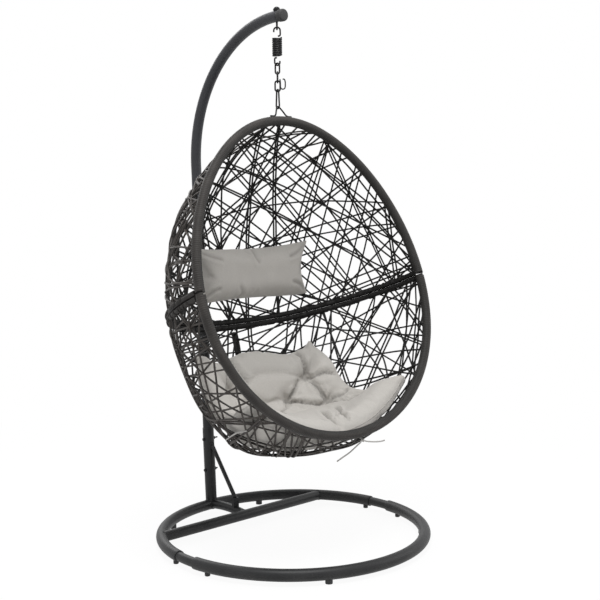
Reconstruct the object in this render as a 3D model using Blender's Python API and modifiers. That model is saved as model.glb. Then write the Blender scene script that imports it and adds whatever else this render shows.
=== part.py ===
"""Hanging egg chair: a ring base with a bent arm, a spring and chain, and a woven egg seat with cushions.

Metres, +Z up. The origin is on the floor under the middle of the chair's bounding box. The egg's opening
faces -Y, the post stands at +Y, and X is the width.
"""

import bmesh
import bpy
from math import acos, ceil, cos, pi, radians, sin, sqrt, tan
from mathutils import Matrix, Vector

GAP = 0.0003            # clearance kept where two pieces touch
TINY = 0.00005          # merge distance for welding a curve's caps

# Base ring, a circle of steel tube lying on four feet
RING_RADIUS = 0.486     # to the tube's centre line
RING_Y = -0.029         # the ring's centre
RING_Z = 0.0335         # height of the tube's centre line
REAR_TUBE = 0.0205      # outer radii of the tubes
FRONT_TUBE = 0.0215
TUBE_WALL = 0.002
SLEEVE_TUBE = 0.0170    # the necks that join the two halves
REAR_END = radians(7)   # the rear half runs from this angle round to its mirror
FRONT_END = radians(-4)
RING_STEPS = 20
RING_BOLTS = (radians(10), radians(-10.7))
CROSSBAR_TUBE = 0.0194
CROSSBAR_Y = 0.247
STUB_TUBE = 0.017
STUB_ARCH = 0.008       # how far the stub rises between the ring and the crossbar
RING_BOLT_HOLE = 0.0034
RING_BOLT_LENGTH = 0.019
FEET = (-118.8, -36.9, 64.3, 119.6)   # degrees round the ring
FOOT_RADIUS = 0.0125
FOOT_SINK = 0.004       # from the ring's centre line down to the top of a foot's blank

# Bolts and nuts
BOLT_SHANK = 0.003
BOLT_HEAD = 0.0065
BOLT_HEAD_HEIGHT = 0.005
NUT_RADIUS = 0.0075
NUT_HEIGHT = 0.006

# Post and arm: a straight lean, then one bend forward to the tip
LEAN = radians(2.45)
POST_FOOT_Y = 0.4568    # where the post's axis meets the floor
SOCKET_TUBE = 0.0223
SOCKET_BORE = 0.0204
SOCKET_TOP = 0.345
SOCKET_RISE = 0.016     # the socket starts this far above the ring's centre line
POST_TUBE = 0.020
POST_BORE = 0.0182
POST_BOTTOM = 0.080
SPIGOT_TUBE = 0.0169
SPIGOT_BOTTOM = 1.030
ARM_JOINT = 1.135       # height where the upper arm sits on the lower one
BEND_START = 1.392      # height where the bend begins
BEND_RADIUS = 0.500
BEND_END = radians(89.85)
CAP_LENGTH = 0.029
POST_BOLTS = (0.175, 0.300)
ARM_BOLTS = (1.074, 1.114)
POST_BOLT_SPARE = (0.016, 0.022)  # how far each bolt runs past the tube
ARM_BOLT_SPARE = 0.012
CAP_RADIUS = 0.0222     # the plug in the arm's end
CAP_ROUND = 0.006
BRACE_TUBE = 0.008
BRACE_TOP = (0.4455, 0.2745)     # y, z of the brace's axis at the post
BRACE_LOW = (0.3085, 0.0900)     # and above the stub
BRACE_SPARE = 0.02      # the rod's blank runs on this far at each end before it is cut
BRACE_FOOT_WIDTH = 0.026
BRACE_FOOT_THICK = 0.012

# Hanging hardware on one plumb line, turned to an angle about it
HOOK_Y = 0.029
CHAIN_TURN = radians(-43)        # plane of the spring's upper hook and the third link, from +X
LOWER_HOOK_TURN = CHAIN_TURN + radians(28)
LINK_TURNS = (CHAIN_TURN - radians(32), CHAIN_TURN + radians(88), CHAIN_TURN)
LONG_RING_TURN = CHAIN_TURN - radians(62)
WIRE = 0.003            # radius of the chain and hook wire
EYE_WIRE = 0.0035
EYE_RADIUS = 0.0115
EYE_Z = 1.8785
EYE_SHANK = 0.004
EYE_SHANK_TOP = 0.030   # above the arm's centre line
CAP_NUT_RADIUS = 0.0088
CAP_NUT_HEIGHT = 0.008
CAP_NUT_DOME = 0.0066
SEAT_STEP = 2 * WIRE + GAP       # one wire's centre above the wire it hangs on
SLANT_STEP = SEAT_STEP + 0.0009  # the same where the two cross at a slant
HOOK_RADIUS = 0.0115
HOOK_SHOULDER = 0.005   # where the hook's wire has turned upright, from the coil
HOOK_TAIL = 0.0055      # the hook's open end runs on past its bend
SPARE_WIRE = 0.0027
COIL_TOP = 1.840
COIL_BOTTOM = 1.7695
COIL_RADIUS = 0.0152    # to the wire's centre
COIL_PITCH = 0.0066
LOWER_HOOK_RADIUS = 0.0104
LOWER_HOOK_Z = 1.7397   # the wire's centre at the bottom of the hook
LINK_LENGTH = 0.038     # between the centres of a link's end bars
LINK_RADIUS = 0.009
RING_LENGTH = 0.068     # the pear-shaped ring between chain and egg
LONG_RING_RADII = (0.0079, 0.0122)
SPARE_DROP = 0.0035     # from the third link's top to where the spare hook sits
BRACKET_HALVES = (0.005, 0.015, 0.028, 0.050)   # the bracket's half widths from its apex to its ends
BRACKET_DROP = 0.002
BRACKET_ANGLE = radians(3.2)     # place on the rim whose height the bracket's feet have

# Egg: a flat egg-shaped rim that leans back at the top, and a bowl behind it
RIM_TUBE = 0.017
RIM_HALF_WIDTH = 0.532
RIM_HALF_HEIGHT = 0.575
RIM_EGG = 0.0973        # how much the rim widens below its middle
RIM_LEAN = radians(18.15)
RIM_END_STEP = 0.004    # a short last step that keeps each half's ends square, in radians
RIM_TOP_Y = 0.007
RIM_TOP_Z = 1.5402
BOWL_DEPTH = 0.514      # measured at the mid band
DEPTH_POWERS = (0.489, 0.457)    # how full the bowl is towards its top and its bottom
DEPTH_SHIFT = -0.15
SECTION_POWER = 2.232   # roundness of a section: 2 is an ellipse
DIP = radians(21.4)     # slope of the band's plane, falling to the back
DIP_SLOPE = -0.115
DIP_CURVE = 0.233
FLAT_Z = 0.3588         # height of the bowl's flat bottom
FLAT_ROUND = 0.026
BAND_ANGLE = radians(93.1)       # the band's place round the rim, from the top
SHELL_THICKNESS = 0.006
SHELL_RIM_GAP = 0.0025
SHELL_RINGS = 7         # cells from the middle of the back to the rim
SHELL_COLUMNS = 24      # and all the way round
CELL_BAR = 0.018        # width of the bars between the shells' openings
CELL_LEAST = 0.011      # a cell's area over its edge length, below which it stays shut
BAR_TUBE = 0.0097
BAR_OFFSET = 0.0100     # each band bar's centre from the band's own plane
BAND_BOLTS = (-0.30, 0.0, 0.30)
BAND_BOLT_LENGTH = 0.034
BAND_BOLT_HEAD = 0.0055
BAND_BOLT_HEAD_HEIGHT = 0.004
BAND_BOLT_NOTCH = 0.0072         # radius of the lower shell's notch round each head
BAND_CLEAR = 0.0245     # below the band's plane, clear of the lower bar and its bolts
RIB_THICK = 0.0065      # half the rib's thickness; it lies on the outside of the lower shell
RIB_WIDE = 2.0          # and its width, as a multiple of that
RIB_END = -0.94         # how far down the rim's plane the rib reaches

# Cushions
SEAT_THICK = 0.105
SEAT_EDGE = 0.30        # edge thickness as a share of the middle's
SEAT_GAP = 0.013
SEAT_HALVES = ((0.0, 0.318), (0.25, 0.370), (0.5, 0.376), (0.8, 0.412), (1.0, 0.414))
SEAT_TOP = ((0.0, 0.672), (0.20, 0.648), (0.26, 0.660), (0.33, 0.715), (0.45, 0.690))
SEAT_FRONT_GAP = 0.036  # from the rim's centre line to the seat's front edge
PILLOW_X = 0.060        # it lies a little to one side
PILLOW_HALF = 0.268
PILLOW_HALF_HEIGHT = 0.104
PILLOW_THICK = 0.095
PILLOW_S = -0.417       # the pillow's middle, measured down the rim's plane
PILLOW_GAP = 0.004
TIE_RADIUS = 0.0025
TIE_KNOT_RADIUS = 0.006
TIE_POINTS = 12
TUFTS = ((-0.52, 0.10), (0.0, 0.10), (0.52, 0.10), (-0.52, -0.36), (0.0, -0.36), (0.52, -0.36))

STEEL = ("powder_coat", (0.095, 0.096, 0.104), 0.45, 0.6)
BLACK = ("black_steel", (0.018, 0.018, 0.020), 0.40, 0.8)
WICKER = ("wicker", (0.062, 0.057, 0.053), 0.55, 0.0)
FABRIC = ("grey_fabric", (0.42, 0.405, 0.385), 0.90, 0.0)
RUBBER = ("rubber", (0.012, 0.012, 0.012), 0.80, 0.0)
TAPE = ("tie_tape", (0.36, 0.35, 0.34), 0.90, 0.0)


# --- scene, collections and materials ---

def clear_scene():
    for item in list(bpy.data.objects):
        bpy.data.objects.remove(item, do_unlink=True)


def collection(name):
    made = bpy.data.collections.new(name)
    bpy.context.scene.collection.children.link(made)
    return made


def material(spec):
    name, colour, roughness, metallic = spec
    made = bpy.data.materials.get(name)
    if made is None:
        made = bpy.data.materials.new(name)
        made.use_nodes = True
        shader = made.node_tree.nodes["Principled BSDF"]
        shader.inputs["Base Color"].default_value = (*colour, 1.0)
        shader.inputs["Roughness"].default_value = roughness
        shader.inputs["Metallic"].default_value = metallic
    return made


def add(name, mesh, spec, smooth=True):
    """A part's object, with its own copy of its material."""
    item = bpy.data.objects.new(name, mesh)
    PARTS.objects.link(item)
    own = material(spec).copy()
    own.name = name
    mesh.materials.clear()
    mesh.materials.append(own)
    if smooth:
        mesh.shade_smooth()
        mesh.set_sharp_from_angle(angle=radians(35))
    return item


def cutter(mesh):
    item = bpy.data.objects.new("cutter", mesh)
    CUTTERS.objects.link(item)
    item.hide_render = True
    item.display_type = "WIRE"
    return item


def boolean(item, other, operation="DIFFERENCE"):
    step = item.modifiers.new("cut", "BOOLEAN")
    step.operation = operation
    step.solver = "EXACT"
    step.object = other


# --- shapes ---

def mesh_from(bm, name):
    mesh = bpy.data.meshes.new(name)
    bmesh.ops.recalc_face_normals(bm, faces=bm.faces)
    bm.to_mesh(mesh)
    bm.free()
    return mesh


def rod_mesh(name, points, radius, sides=8, closed=False, caps=True, radii=None):
    """A round tube along the points, as a mesh."""
    curve = bpy.data.curves.new(name, "CURVE")
    curve.dimensions = "3D"
    curve.bevel_depth = radius
    curve.bevel_resolution = (sides - 4) // 2
    curve.resolution_u = 1
    curve.use_fill_caps = caps and not closed
    line = curve.splines.new("POLY")
    line.points.add(len(points) - 1)
    for i, place in enumerate(points):
        line.points[i].co = (*place, 1.0)
        if radii:
            line.points[i].radius = radii[i]
    line.use_cyclic_u = closed
    source = bpy.data.objects.new(name, curve)
    bpy.context.scene.collection.objects.link(source)
    graph = bpy.context.evaluated_depsgraph_get()
    mesh = bpy.data.meshes.new_from_object(source.evaluated_get(graph))
    bpy.data.objects.remove(source, do_unlink=True)
    bm = bmesh.new()
    bm.from_mesh(mesh)
    bmesh.ops.remove_doubles(bm, verts=bm.verts, dist=TINY)
    bm.to_mesh(mesh)
    bm.free()
    return mesh


def hollow(item, wall):
    """Give an open-ended tube its wall, inwards."""
    bm = bmesh.new()
    bm.from_mesh(item.data)
    bmesh.ops.recalc_face_normals(bm, faces=bm.faces)
    bm.to_mesh(item.data)
    bm.free()
    step = item.modifiers.new("wall", "SOLIDIFY")
    step.thickness = wall
    step.offset = -1.0
    step.use_rim = True


def cylinder_mesh(name, start, end, radius, sides=12, caps=True, end_radius=None):
    """A straight round bar between two points."""
    start, end = Vector(start), Vector(end)
    run = end - start
    bm = bmesh.new()
    bmesh.ops.create_cone(
        bm,
        cap_ends=caps,
        segments=sides,
        radius1=radius,
        radius2=radius if end_radius is None else end_radius,
        depth=run.length,
    )
    turn = run.to_track_quat("Z", "Y").to_matrix().to_4x4()
    bmesh.ops.transform(bm, matrix=Matrix.Translation((start + end) / 2) @ turn, verts=bm.verts)
    return mesh_from(bm, name)


def box_mesh(name, low, high):
    low, high = Vector(low), Vector(high)
    bm = bmesh.new()
    bmesh.ops.create_cube(bm, size=1.0)
    size = Matrix.Diagonal((*(high - low), 1.0))
    bmesh.ops.transform(bm, matrix=Matrix.Translation((low + high) / 2) @ size, verts=bm.verts)
    return mesh_from(bm, name)


def evenly(points, count):
    """The same line, as count points at equal steps along it."""
    lengths = [0.0]
    for a, b in zip(points, points[1:]):
        lengths.append(lengths[-1] + (b - a).length)
    made = []
    k = 0
    for i in range(count):
        want = lengths[-1] * i / (count - 1)
        while k < len(points) - 2 and lengths[k + 1] < want:
            k += 1
        step = lengths[k + 1] - lengths[k]
        share = (want - lengths[k]) / step if step > 0 else 0.0
        made.append(points[k].lerp(points[k + 1], share))
    return made


def hermite(points, per_span):
    """A smooth curve through hand-chosen points."""
    nodes = [Vector(p) for p in points]
    made = []
    for i in range(len(nodes) - 1):
        before = nodes[max(i - 1, 0)]
        after = nodes[min(i + 2, len(nodes) - 1)]
        a, b = nodes[i], nodes[i + 1]
        leave = (b - before) / 2
        arrive = (after - a) / 2
        for j in range(per_span):
            u = j / per_span
            part = a * (2 * u ** 3 - 3 * u ** 2 + 1) + leave * (u ** 3 - 2 * u ** 2 + u)
            made.append(part + b * (3 * u ** 2 - 2 * u ** 3) + arrive * (u ** 3 - u ** 2))
    return made + [nodes[-1]]


# --- base ---

def ring_point(angle):
    return Vector((RING_RADIUS * cos(angle), RING_Y + RING_RADIUS * sin(angle), RING_Z))


def ring_arc(start, end, steps):
    return [ring_point(start + (end - start) * i / steps) for i in range(steps + 1)]


def rear_arc():
    return ring_arc(REAR_END, pi - REAR_END, RING_STEPS)


def front_arc():
    return ring_arc(FRONT_END, -pi - FRONT_END, RING_STEPS)


def clearance(name, points, radius, sides=12):
    """A cutter round a bar, the same polygon a little larger."""
    return cutter(rod_mesh(name, points, radius + GAP / cos(pi / sides), sides))


def base_ring():
    rear = add("ring_rear", rod_mesh("r", rear_arc(), REAR_TUBE, 10, caps=False), STEEL)
    hollow(rear, TUBE_WALL)
    front = add("ring_front", rod_mesh("f", front_arc(), FRONT_TUBE, 10, caps=False), STEEL)
    hollow(front, TUBE_WALL)
    for side, name in ((0, "right"), (1, "left")):
        ahead = -1 if side else 1
        rear_line, front_line = rear_arc()[::ahead], front_arc()[::ahead]
        neck = (REAR_END + FRONT_END) / 2
        middle = ring_point(pi - neck if side else neck)
        arc = [rear_line[1], rear_line[0], middle, front_line[0], front_line[1]]
        sleeve = add("ring_sleeve_" + name, rod_mesh("s", arc, SLEEVE_TUBE, 10, caps=False), STEEL)
        hollow(sleeve, TUBE_WALL)
        for half, angle in zip(("rear", "front"), RING_BOLTS):
            place = ring_point(angle if side == 0 else pi - angle)
            tube = REAR_TUBE if half == "rear" else FRONT_TUBE
            head = Vector((place.x, place.y, RING_Z - tube - GAP))
            below = head - Vector((0, 0, 2 * BOLT_HEAD_HEIGHT))
            hole = cutter(cylinder_mesh("hole", below, place, RING_BOLT_HOLE))
            boolean(rear if half == "rear" else front, hole)
            boolean(sleeve, hole)
            bolt("ring_bolt_" + name + "_" + half, head, Vector((0, 0, 1)), RING_BOLT_LENGTH)


def crossbar_ends():
    chord = sqrt(RING_RADIUS ** 2 - (CROSSBAR_Y - RING_Y) ** 2)
    return [Vector((side * chord, CROSSBAR_Y, RING_Z)) for side in (-1, 1)]


def stub_line():
    """The stub's centre line, from the ring's rear forward to the crossbar, in a low arch."""
    steps = 8
    rear_y = RING_Y + RING_RADIUS
    run = CROSSBAR_Y - rear_y
    shares = [i / steps for i in range(steps + 1)]
    return [Vector((0, rear_y + run * share, RING_Z + STUB_ARCH * sin(pi * share))) for share in shares]


def base_bars():
    ends = crossbar_ends()
    bar = add("crossbar", rod_mesh("crossbar", ends, CROSSBAR_TUBE, 12, caps=False), STEEL)
    hollow(bar, TUBE_WALL)
    boolean(bar, clearance("ring", rear_arc(), REAR_TUBE, 10))
    stub = add("post_stub", rod_mesh("stub", stub_line(), STUB_TUBE, 12, caps=False), STEEL)
    hollow(stub, TUBE_WALL)
    boolean(stub, clearance("ring", rear_arc(), REAR_TUBE, 10))
    boolean(stub, clearance("bar", ends, CROSSBAR_TUBE))


def feet():
    for number, angle in enumerate(FEET, 1):
        place = ring_point(radians(angle))
        front = angle < 0
        low, high = Vector((place.x, place.y, 0)), Vector((place.x, place.y, RING_Z - FOOT_SINK))
        foot = add("foot_%d" % number, cylinder_mesh("pad", low, high, FOOT_RADIUS, 16), RUBBER)
        if front:
            boolean(foot, clearance("ring", front_arc(), FRONT_TUBE, 10))
        else:
            boolean(foot, clearance("ring", rear_arc(), REAR_TUBE, 10))


# --- fasteners ---

def bolt(name, seat, direction, length, head=BOLT_HEAD, head_height=BOLT_HEAD_HEIGHT):
    """A hex-headed bolt. Its head sits behind seat, and its shank runs on along direction."""
    seat, direction = Vector(seat), Vector(direction).normalized()
    item = add(name, cylinder_mesh(name, seat - direction * head_height, seat, head, 6), BLACK)
    start = seat - direction * head_height / 2
    shaft = cutter(cylinder_mesh("shank", start, seat + direction * length, BOLT_SHANK, 10))
    boolean(item, shaft, "UNION")
    return item


def nut(name, place, direction):
    """A hex nut with its own bore."""
    place, direction = Vector(place), Vector(direction).normalized()
    step = direction * NUT_HEIGHT
    item = add(name, cylinder_mesh(name, place, place + step, NUT_RADIUS, 6), BLACK)
    inside = cylinder_mesh("bore", place - step, place + 2 * step, BOLT_SHANK + GAP, 10)
    boolean(item, cutter(inside))
    return item


# --- post and arm ---

def post_point(z):
    return Vector((0, POST_FOOT_Y + z * tan(LEAN), z))


def bend_centre():
    start = post_point(BEND_START)
    return start + BEND_RADIUS * Vector((0, -cos(LEAN), sin(LEAN)))


def bend_point(angle):
    return bend_centre() + BEND_RADIUS * Vector((0, cos(angle), sin(angle)))


def cross_hole(items, z):
    """A bolt's hole along X through the post at a height."""
    place = post_point(z)
    reach = Vector((2 * SOCKET_TUBE, 0, 0))
    hole = cutter(cylinder_mesh("hole", place - reach, place + reach, BOLT_SHANK + GAP))
    for item in items:
        boolean(item, hole)


def through_bolt(name, z, outer, spare):
    """A bolt across the post with its head at -X and its nut at +X."""
    place = post_point(z)
    across = Vector((1, 0, 0))
    bolt(name, place - across * (outer + GAP), across, 2 * outer + spare)
    nut(name + "_nut", place + across * (outer + GAP), across)


def post_and_arm():
    socket_ends = post_point(RING_Z), post_point(SOCKET_TOP)
    socket_mesh = cylinder_mesh("socket", *socket_ends, SOCKET_TUBE, 12, caps=False)
    socket = add("post_socket", socket_mesh, STEEL)
    hollow(socket, SOCKET_TUBE - SOCKET_BORE)
    boolean(socket, clearance("ring", rear_arc(), REAR_TUBE, 10))
    foot = post_point(0)
    reach = Vector((2 * SOCKET_TUBE, 2 * SOCKET_TUBE, 0))
    ceiling = Vector((0, 0, RING_Z + SOCKET_RISE))
    boolean(socket, cutter(box_mesh("below", foot - reach, foot + reach + ceiling)))
    boolean(socket, clearance("stub", stub_line(), STUB_TUBE))
    lower_ends = post_point(POST_BOTTOM), post_point(ARM_JOINT)
    lower_mesh = cylinder_mesh("arm", *lower_ends, POST_TUBE, 12, caps=False)
    lower = add("arm_lower", lower_mesh, STEEL)
    hollow(lower, POST_TUBE - POST_BORE)
    upper = upper_arm()
    for name, z, spare in zip(("post_bolt_low", "post_bolt_high"), POST_BOLTS, POST_BOLT_SPARE):
        cross_hole((socket, lower), z)
        through_bolt(name, z, SOCKET_TUBE, spare)
    for number, z in enumerate(ARM_BOLTS, 1):
        cross_hole((lower, upper), z)
        through_bolt("arm_bolt_%d" % number, z, POST_TUBE, ARM_BOLT_SPARE)
    arm_tip(upper)


def upper_arm():
    """The bent tube, with a narrower spigot at its foot."""
    levels = (SPIGOT_BOTTOM, ARM_JOINT + GAP, ARM_JOINT + 2 * GAP, BEND_START)
    steps = 16
    bend = [bend_point(-LEAN + (BEND_END + LEAN) * i / steps) for i in range(1, steps + 1)]
    points = [post_point(z) for z in levels] + bend
    radii = [SPIGOT_TUBE / POST_TUBE] * 2 + [1.0] * (len(points) - 2)
    upper = add("arm_upper", rod_mesh("upper", points, POST_TUBE, 12, caps=False, radii=radii), STEEL)
    hollow(upper, POST_TUBE - POST_BORE)
    return upper


def arm_tip(upper):
    """The end cap, and the eye bolt with its cap nut."""
    tip = bend_point(BEND_END)
    ahead = Vector((0, -sin(BEND_END), cos(BEND_END)))
    back, front = tip + ahead * 3 * GAP, tip + ahead * CAP_LENGTH
    cap = add("arm_end_cap", cylinder_mesh("cap", back, front, CAP_RADIUS, 20), RUBBER)
    step = cap.modifiers.new("round", "BEVEL")
    step.width = CAP_ROUND
    step.segments = 3
    step.limit_method = "ANGLE"
    step.angle_limit = radians(60)
    spot = Vector((0, HOOK_Y, bend_centre().z + BEND_RADIUS))
    up = Vector((0, 0, 1))
    reach = up * 2 * POST_TUBE
    hole = cutter(cylinder_mesh("hole", spot - reach, spot + reach, EYE_SHANK + GAP, 12))
    boolean(upper, hole)
    eye_points = []
    steps = 20
    for i in range(steps):
        angle = 2 * pi * i / steps
        side, lift = EYE_RADIUS * cos(angle), EYE_RADIUS * sin(angle)
        eye_points.append(plumb(CHAIN_TURN, 0.0, EYE_Z + lift, side))
    eye = add("eye_bolt", rod_mesh("eye", eye_points, EYE_WIRE, 8, closed=True), BLACK)
    base = Vector((0, HOOK_Y, EYE_Z + EYE_RADIUS - EYE_WIRE / 4))
    shank = cylinder_mesh("shank", base, spot + up * EYE_SHANK_TOP, EYE_SHANK, 12)
    boolean(eye, cutter(shank), "UNION")
    seat = spot + up * (POST_TUBE + 3 * GAP)
    top = seat + up * CAP_NUT_HEIGHT
    dome = add("eye_bolt_nut", cylinder_mesh("nut", seat, top, CAP_NUT_RADIUS, 6), BLACK)
    ball = bmesh.new()
    bmesh.ops.create_uvsphere(ball, u_segments=12, v_segments=8, radius=CAP_NUT_DOME)
    bmesh.ops.transform(ball, matrix=Matrix.Translation(top), verts=ball.verts)
    boolean(dome, cutter(mesh_from(ball, "ball")), "UNION")
    bore_top = spot + up * (EYE_SHANK_TOP + GAP)
    bore = cylinder_mesh("bore", seat - up * CAP_NUT_HEIGHT, bore_top, EYE_SHANK + GAP, 12)
    boolean(dome, cutter(bore))


def brace():
    top = Vector((0, *BRACE_TOP))
    low = Vector((0, *BRACE_LOW))
    spare = (top - low).normalized() * BRACE_SPARE
    rod = add("post_brace", cylinder_mesh("brace", low - spare, top + spare, BRACE_TUBE, 12), STEEL)
    boolean(rod, cutter(cylinder_mesh("post", post_point(0), post_point(ARM_JOINT), SOCKET_TUBE + GAP, 24)))
    below = Vector((BRACE_FOOT_WIDTH, BRACE_FOOT_WIDTH, 2 * BRACE_SPARE))
    boolean(rod, cutter(box_mesh("flat", low - below, low + Vector((below.x, below.y, 0)))))
    half = BRACE_FOOT_WIDTH / 2
    low_y = low.y - BRACE_TUBE
    foot = box_mesh("foot", (-half, low_y, RING_Z), (half, low_y + BRACE_FOOT_THICK, low.z - GAP))
    plate = add("brace_foot", foot, STEEL)
    boolean(plate, clearance("stub", stub_line(), STUB_TUBE))
    keep_high = Vector((BRACE_FOOT_WIDTH, low_y + BRACE_FOOT_WIDTH, RING_Z + STUB_ARCH))
    boolean(plate, cutter(box_mesh("keep", (-BRACE_FOOT_WIDTH, low_y - BRACE_FOOT_WIDTH, 0), keep_high)))


# --- hanging hardware ---

def plumb(turn, out, z, across=0.0):
    """A point beside the hook's plumb line: out along a plane turned from +X, and across that plane."""
    c, s = cos(turn), sin(turn)
    return Vector((out * c - across * s, HOOK_Y + out * s + across * c, z))


def loop(turn, top, length, upper, lower, steps=16):
    """A long ring's centre line: two half circles, of their own radii, joined by straight sides."""
    points = []
    for i in range(steps):
        angle = 2 * pi * (i + 0.5) / steps
        high = sin(angle) > 0
        radius = upper if high else lower
        centre = top - upper if high else top - length + lower
        points.append(plumb(turn, radius * cos(angle), centre + radius * sin(angle)))
    return points


def spring_and_hooks():
    turns = (COIL_TOP - COIL_BOTTOM - 2 * WIRE) / COIL_PITCH
    per_turn = 9
    count = ceil(turns * per_turn)
    coil = []
    for i in range(count + 1):
        share = i / count
        angle = CHAIN_TURN + 2 * pi * turns * share
        coil.append(plumb(angle, COIL_RADIUS, COIL_TOP - WIRE - COIL_PITCH * turns * share))
    add("spring_coil", rod_mesh("coil", coil, WIRE, 6), BLACK)
    print("coil gap to itself, mm:", round(least_gap(coil, per_turn) * 1000, 3))
    hanging = EYE_Z - EYE_RADIUS + EYE_WIRE + WIRE + 2 * GAP
    start = COIL_TOP + WIRE + GAP
    wire_hook("spring_hook_upper", CHAIN_TURN, start, hanging - HOOK_RADIUS, HOOK_RADIUS, 1)
    start = COIL_BOTTOM - WIRE - GAP
    middle = LOWER_HOOK_Z + LOWER_HOOK_RADIUS
    wire_hook("spring_hook_lower", LOWER_HOOK_TURN, start, middle, LOWER_HOOK_RADIUS, -1)


def wire_hook(name, turn, start, middle, radius, up):
    """A wire that leaves the coil's end, and bends round into an open hook."""
    line = [plumb(turn, up * radius * 0.25, start)]
    line.append(plumb(turn, up * radius * 0.75, start + up * 2 * GAP))
    line.append(plumb(turn, up * radius, start + up * HOOK_SHOULDER))
    steps = 9
    for i in range(steps):
        angle = pi * i / (steps - 1)
        line.append(plumb(turn, up * radius * cos(angle), middle + up * radius * sin(angle)))
    line.append(plumb(turn, -up * radius, middle - up * HOOK_TAIL))
    add(name, rod_mesh(name, line, WIRE, 8), BLACK)


def least_gap(points, per_turn):
    """Smallest clear distance between a wire and its own other turns."""
    least = 1.0
    for i, a in enumerate(points):
        for b in points[i + per_turn // 2:]:
            least = min(least, (a - b).length)
    return least - 2 * WIRE


def chain():
    """Three links and a pear-shaped ring. Returns the height of the wire that hangs in the ring."""
    top = LOWER_HOOK_Z + SLANT_STEP
    tops = (top, top - LINK_LENGTH + SLANT_STEP, top - 2 * LINK_LENGTH + SLANT_STEP + SEAT_STEP)
    for number, (turn, place) in enumerate(zip(LINK_TURNS, tops), 1):
        line = loop(turn, place, LINK_LENGTH, LINK_RADIUS, LINK_RADIUS)
        add("chain_link_%d" % number, rod_mesh("link", line, WIRE, 8, closed=True), BLACK)
    top = tops[-1] - LINK_LENGTH + SLANT_STEP
    line = loop(LONG_RING_TURN, top, RING_LENGTH, *LONG_RING_RADII)
    add("long_ring", rod_mesh("ring", line, WIRE, 8, closed=True), BLACK)
    return tops[-1], top - RING_LENGTH + SEAT_STEP + 3 * GAP


def spare_hook(link_top):
    """An open link that hangs over the shoulder of the third chain link."""
    shoulder = link_top - SPARE_DROP
    route = (
        (0.0085, 0.0075, -0.012),
        (0.0088, 0.0068, 0.000),
        (0.0090, 0.0000, 0.0078),
        (0.0100, -0.0068, 0.000),
        (0.0105, -0.0075, -0.010),
        (0.0110, -0.0075, -0.021),
        (0.0160, -0.0075, -0.0265),
        (0.0240, -0.0075, -0.0255),
        (0.0275, -0.0075, -0.018),
        (0.0275, -0.0075, 0.000),
        (0.0240, -0.0075, 0.0085),
        (0.0185, -0.0075, 0.0080),
    )
    line = [plumb(CHAIN_TURN, out, shoulder + up, across) for out, across, up in route]
    add("spare_hook", rod_mesh("spare", hermite(line, 2), SPARE_WIRE, 6), BLACK)


# --- egg ---

def rim_angle_width(angle):
    return RIM_HALF_WIDTH * sin(angle) * (1 - RIM_EGG * cos(angle))


def rim_point(angle):
    """A point of the rim's centre line, by its angle from the top."""
    s = RIM_HALF_HEIGHT * (cos(angle) - 1)
    return Vector((rim_angle_width(angle), RIM_TOP_Y + s * sin(RIM_LEAN), RIM_TOP_Z + s * cos(RIM_LEAN)))


def bowl_point(x, s):
    """The bowl behind the point x across and s up the rim's plane; s is 0 at the top, negative below."""
    c = max(-1.0, min(1.0, 1 + s / RIM_HALF_HEIGHT))
    angle = acos(c)
    width = rim_angle_width(angle)
    share = min(1.0, abs(x) / width) if width > 1e-9 else 1.0
    fall = c - cos(BAND_ANGLE)
    power = DEPTH_POWERS[0] if fall > 0 else DEPTH_POWERS[1]
    depth = BOWL_DEPTH * (sin(angle) / sin(BAND_ANGLE)) ** power * (1 + DEPTH_SHIFT * fall)
    depth *= (1 - share ** SECTION_POWER) ** (1 / SECTION_POWER)
    dip = DIP + DIP_SLOPE * fall + DIP_CURVE * fall ** 2
    y = RIM_TOP_Y + s * sin(RIM_LEAN) + depth * cos(dip)
    z = RIM_TOP_Z + s * cos(RIM_LEAN) - depth * sin(dip) - FLAT_Z
    return Vector((x, y, FLAT_Z + (z + sqrt(z * z + FLAT_ROUND ** 2)) / 2))


def bowl_normal(x, s):
    """The bowl's normal at a point, facing the inside."""
    step = 0.0005
    along = bowl_point(x + step, s) - bowl_point(x - step, s)
    down = bowl_point(x, s - step) - bowl_point(x, s + step)
    normal = along.cross(down).normalized()
    inside = Vector((0, RIM_TOP_Y - 0.10, 0.95)) - bowl_point(x, s)
    return normal if normal.dot(inside) > 0 else -normal


def hanger_bracket(apex_z):
    """A bent rod that stands on the rim's top and hangs in the long ring."""
    up = Vector((0, sin(RIM_LEAN), cos(RIM_LEAN)))
    foot = rim_point(BRACKET_ANGLE) + up * (RIM_TUBE + WIRE + GAP)
    apex = Vector((0, HOOK_Y, apex_z))
    middle = (foot + apex) / 2
    right_half = [
        Vector((BRACKET_HALVES[0], apex.y, apex.z - BRACKET_DROP)),
        Vector((BRACKET_HALVES[1], middle.y, middle.z + BRACKET_DROP / 2)),
        Vector((BRACKET_HALVES[2], foot.y, foot.z)),
        Vector((BRACKET_HALVES[3], foot.y, foot.z - BRACKET_DROP)),
    ]
    left_half = [Vector((-p.x, p.y, p.z)) for p in reversed(right_half)]
    add("hanger_bracket", rod_mesh("bracket", hermite(left_half + right_half, 2), WIRE, 8), WICKER)


def rims():
    edge = GAP / RIM_HALF_WIDTH
    for name, start, end, steps in (
        ("rim_upper", -BAND_ANGLE + edge, BAND_ANGLE - edge, 22),
        ("rim_lower", BAND_ANGLE + edge, 2 * pi - BAND_ANGLE - edge, 22),
    ):
        angles = [start, start + RIM_END_STEP] + [start + (end - start) * i / steps for i in range(1, steps)]
        line = [rim_point(angle) for angle in angles + [end - RIM_END_STEP, end]]
        add(name, rod_mesh(name, line, RIM_TUBE, 10), WICKER)


def band_normal():
    return Vector((0, sin(DIP), cos(DIP)))


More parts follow.
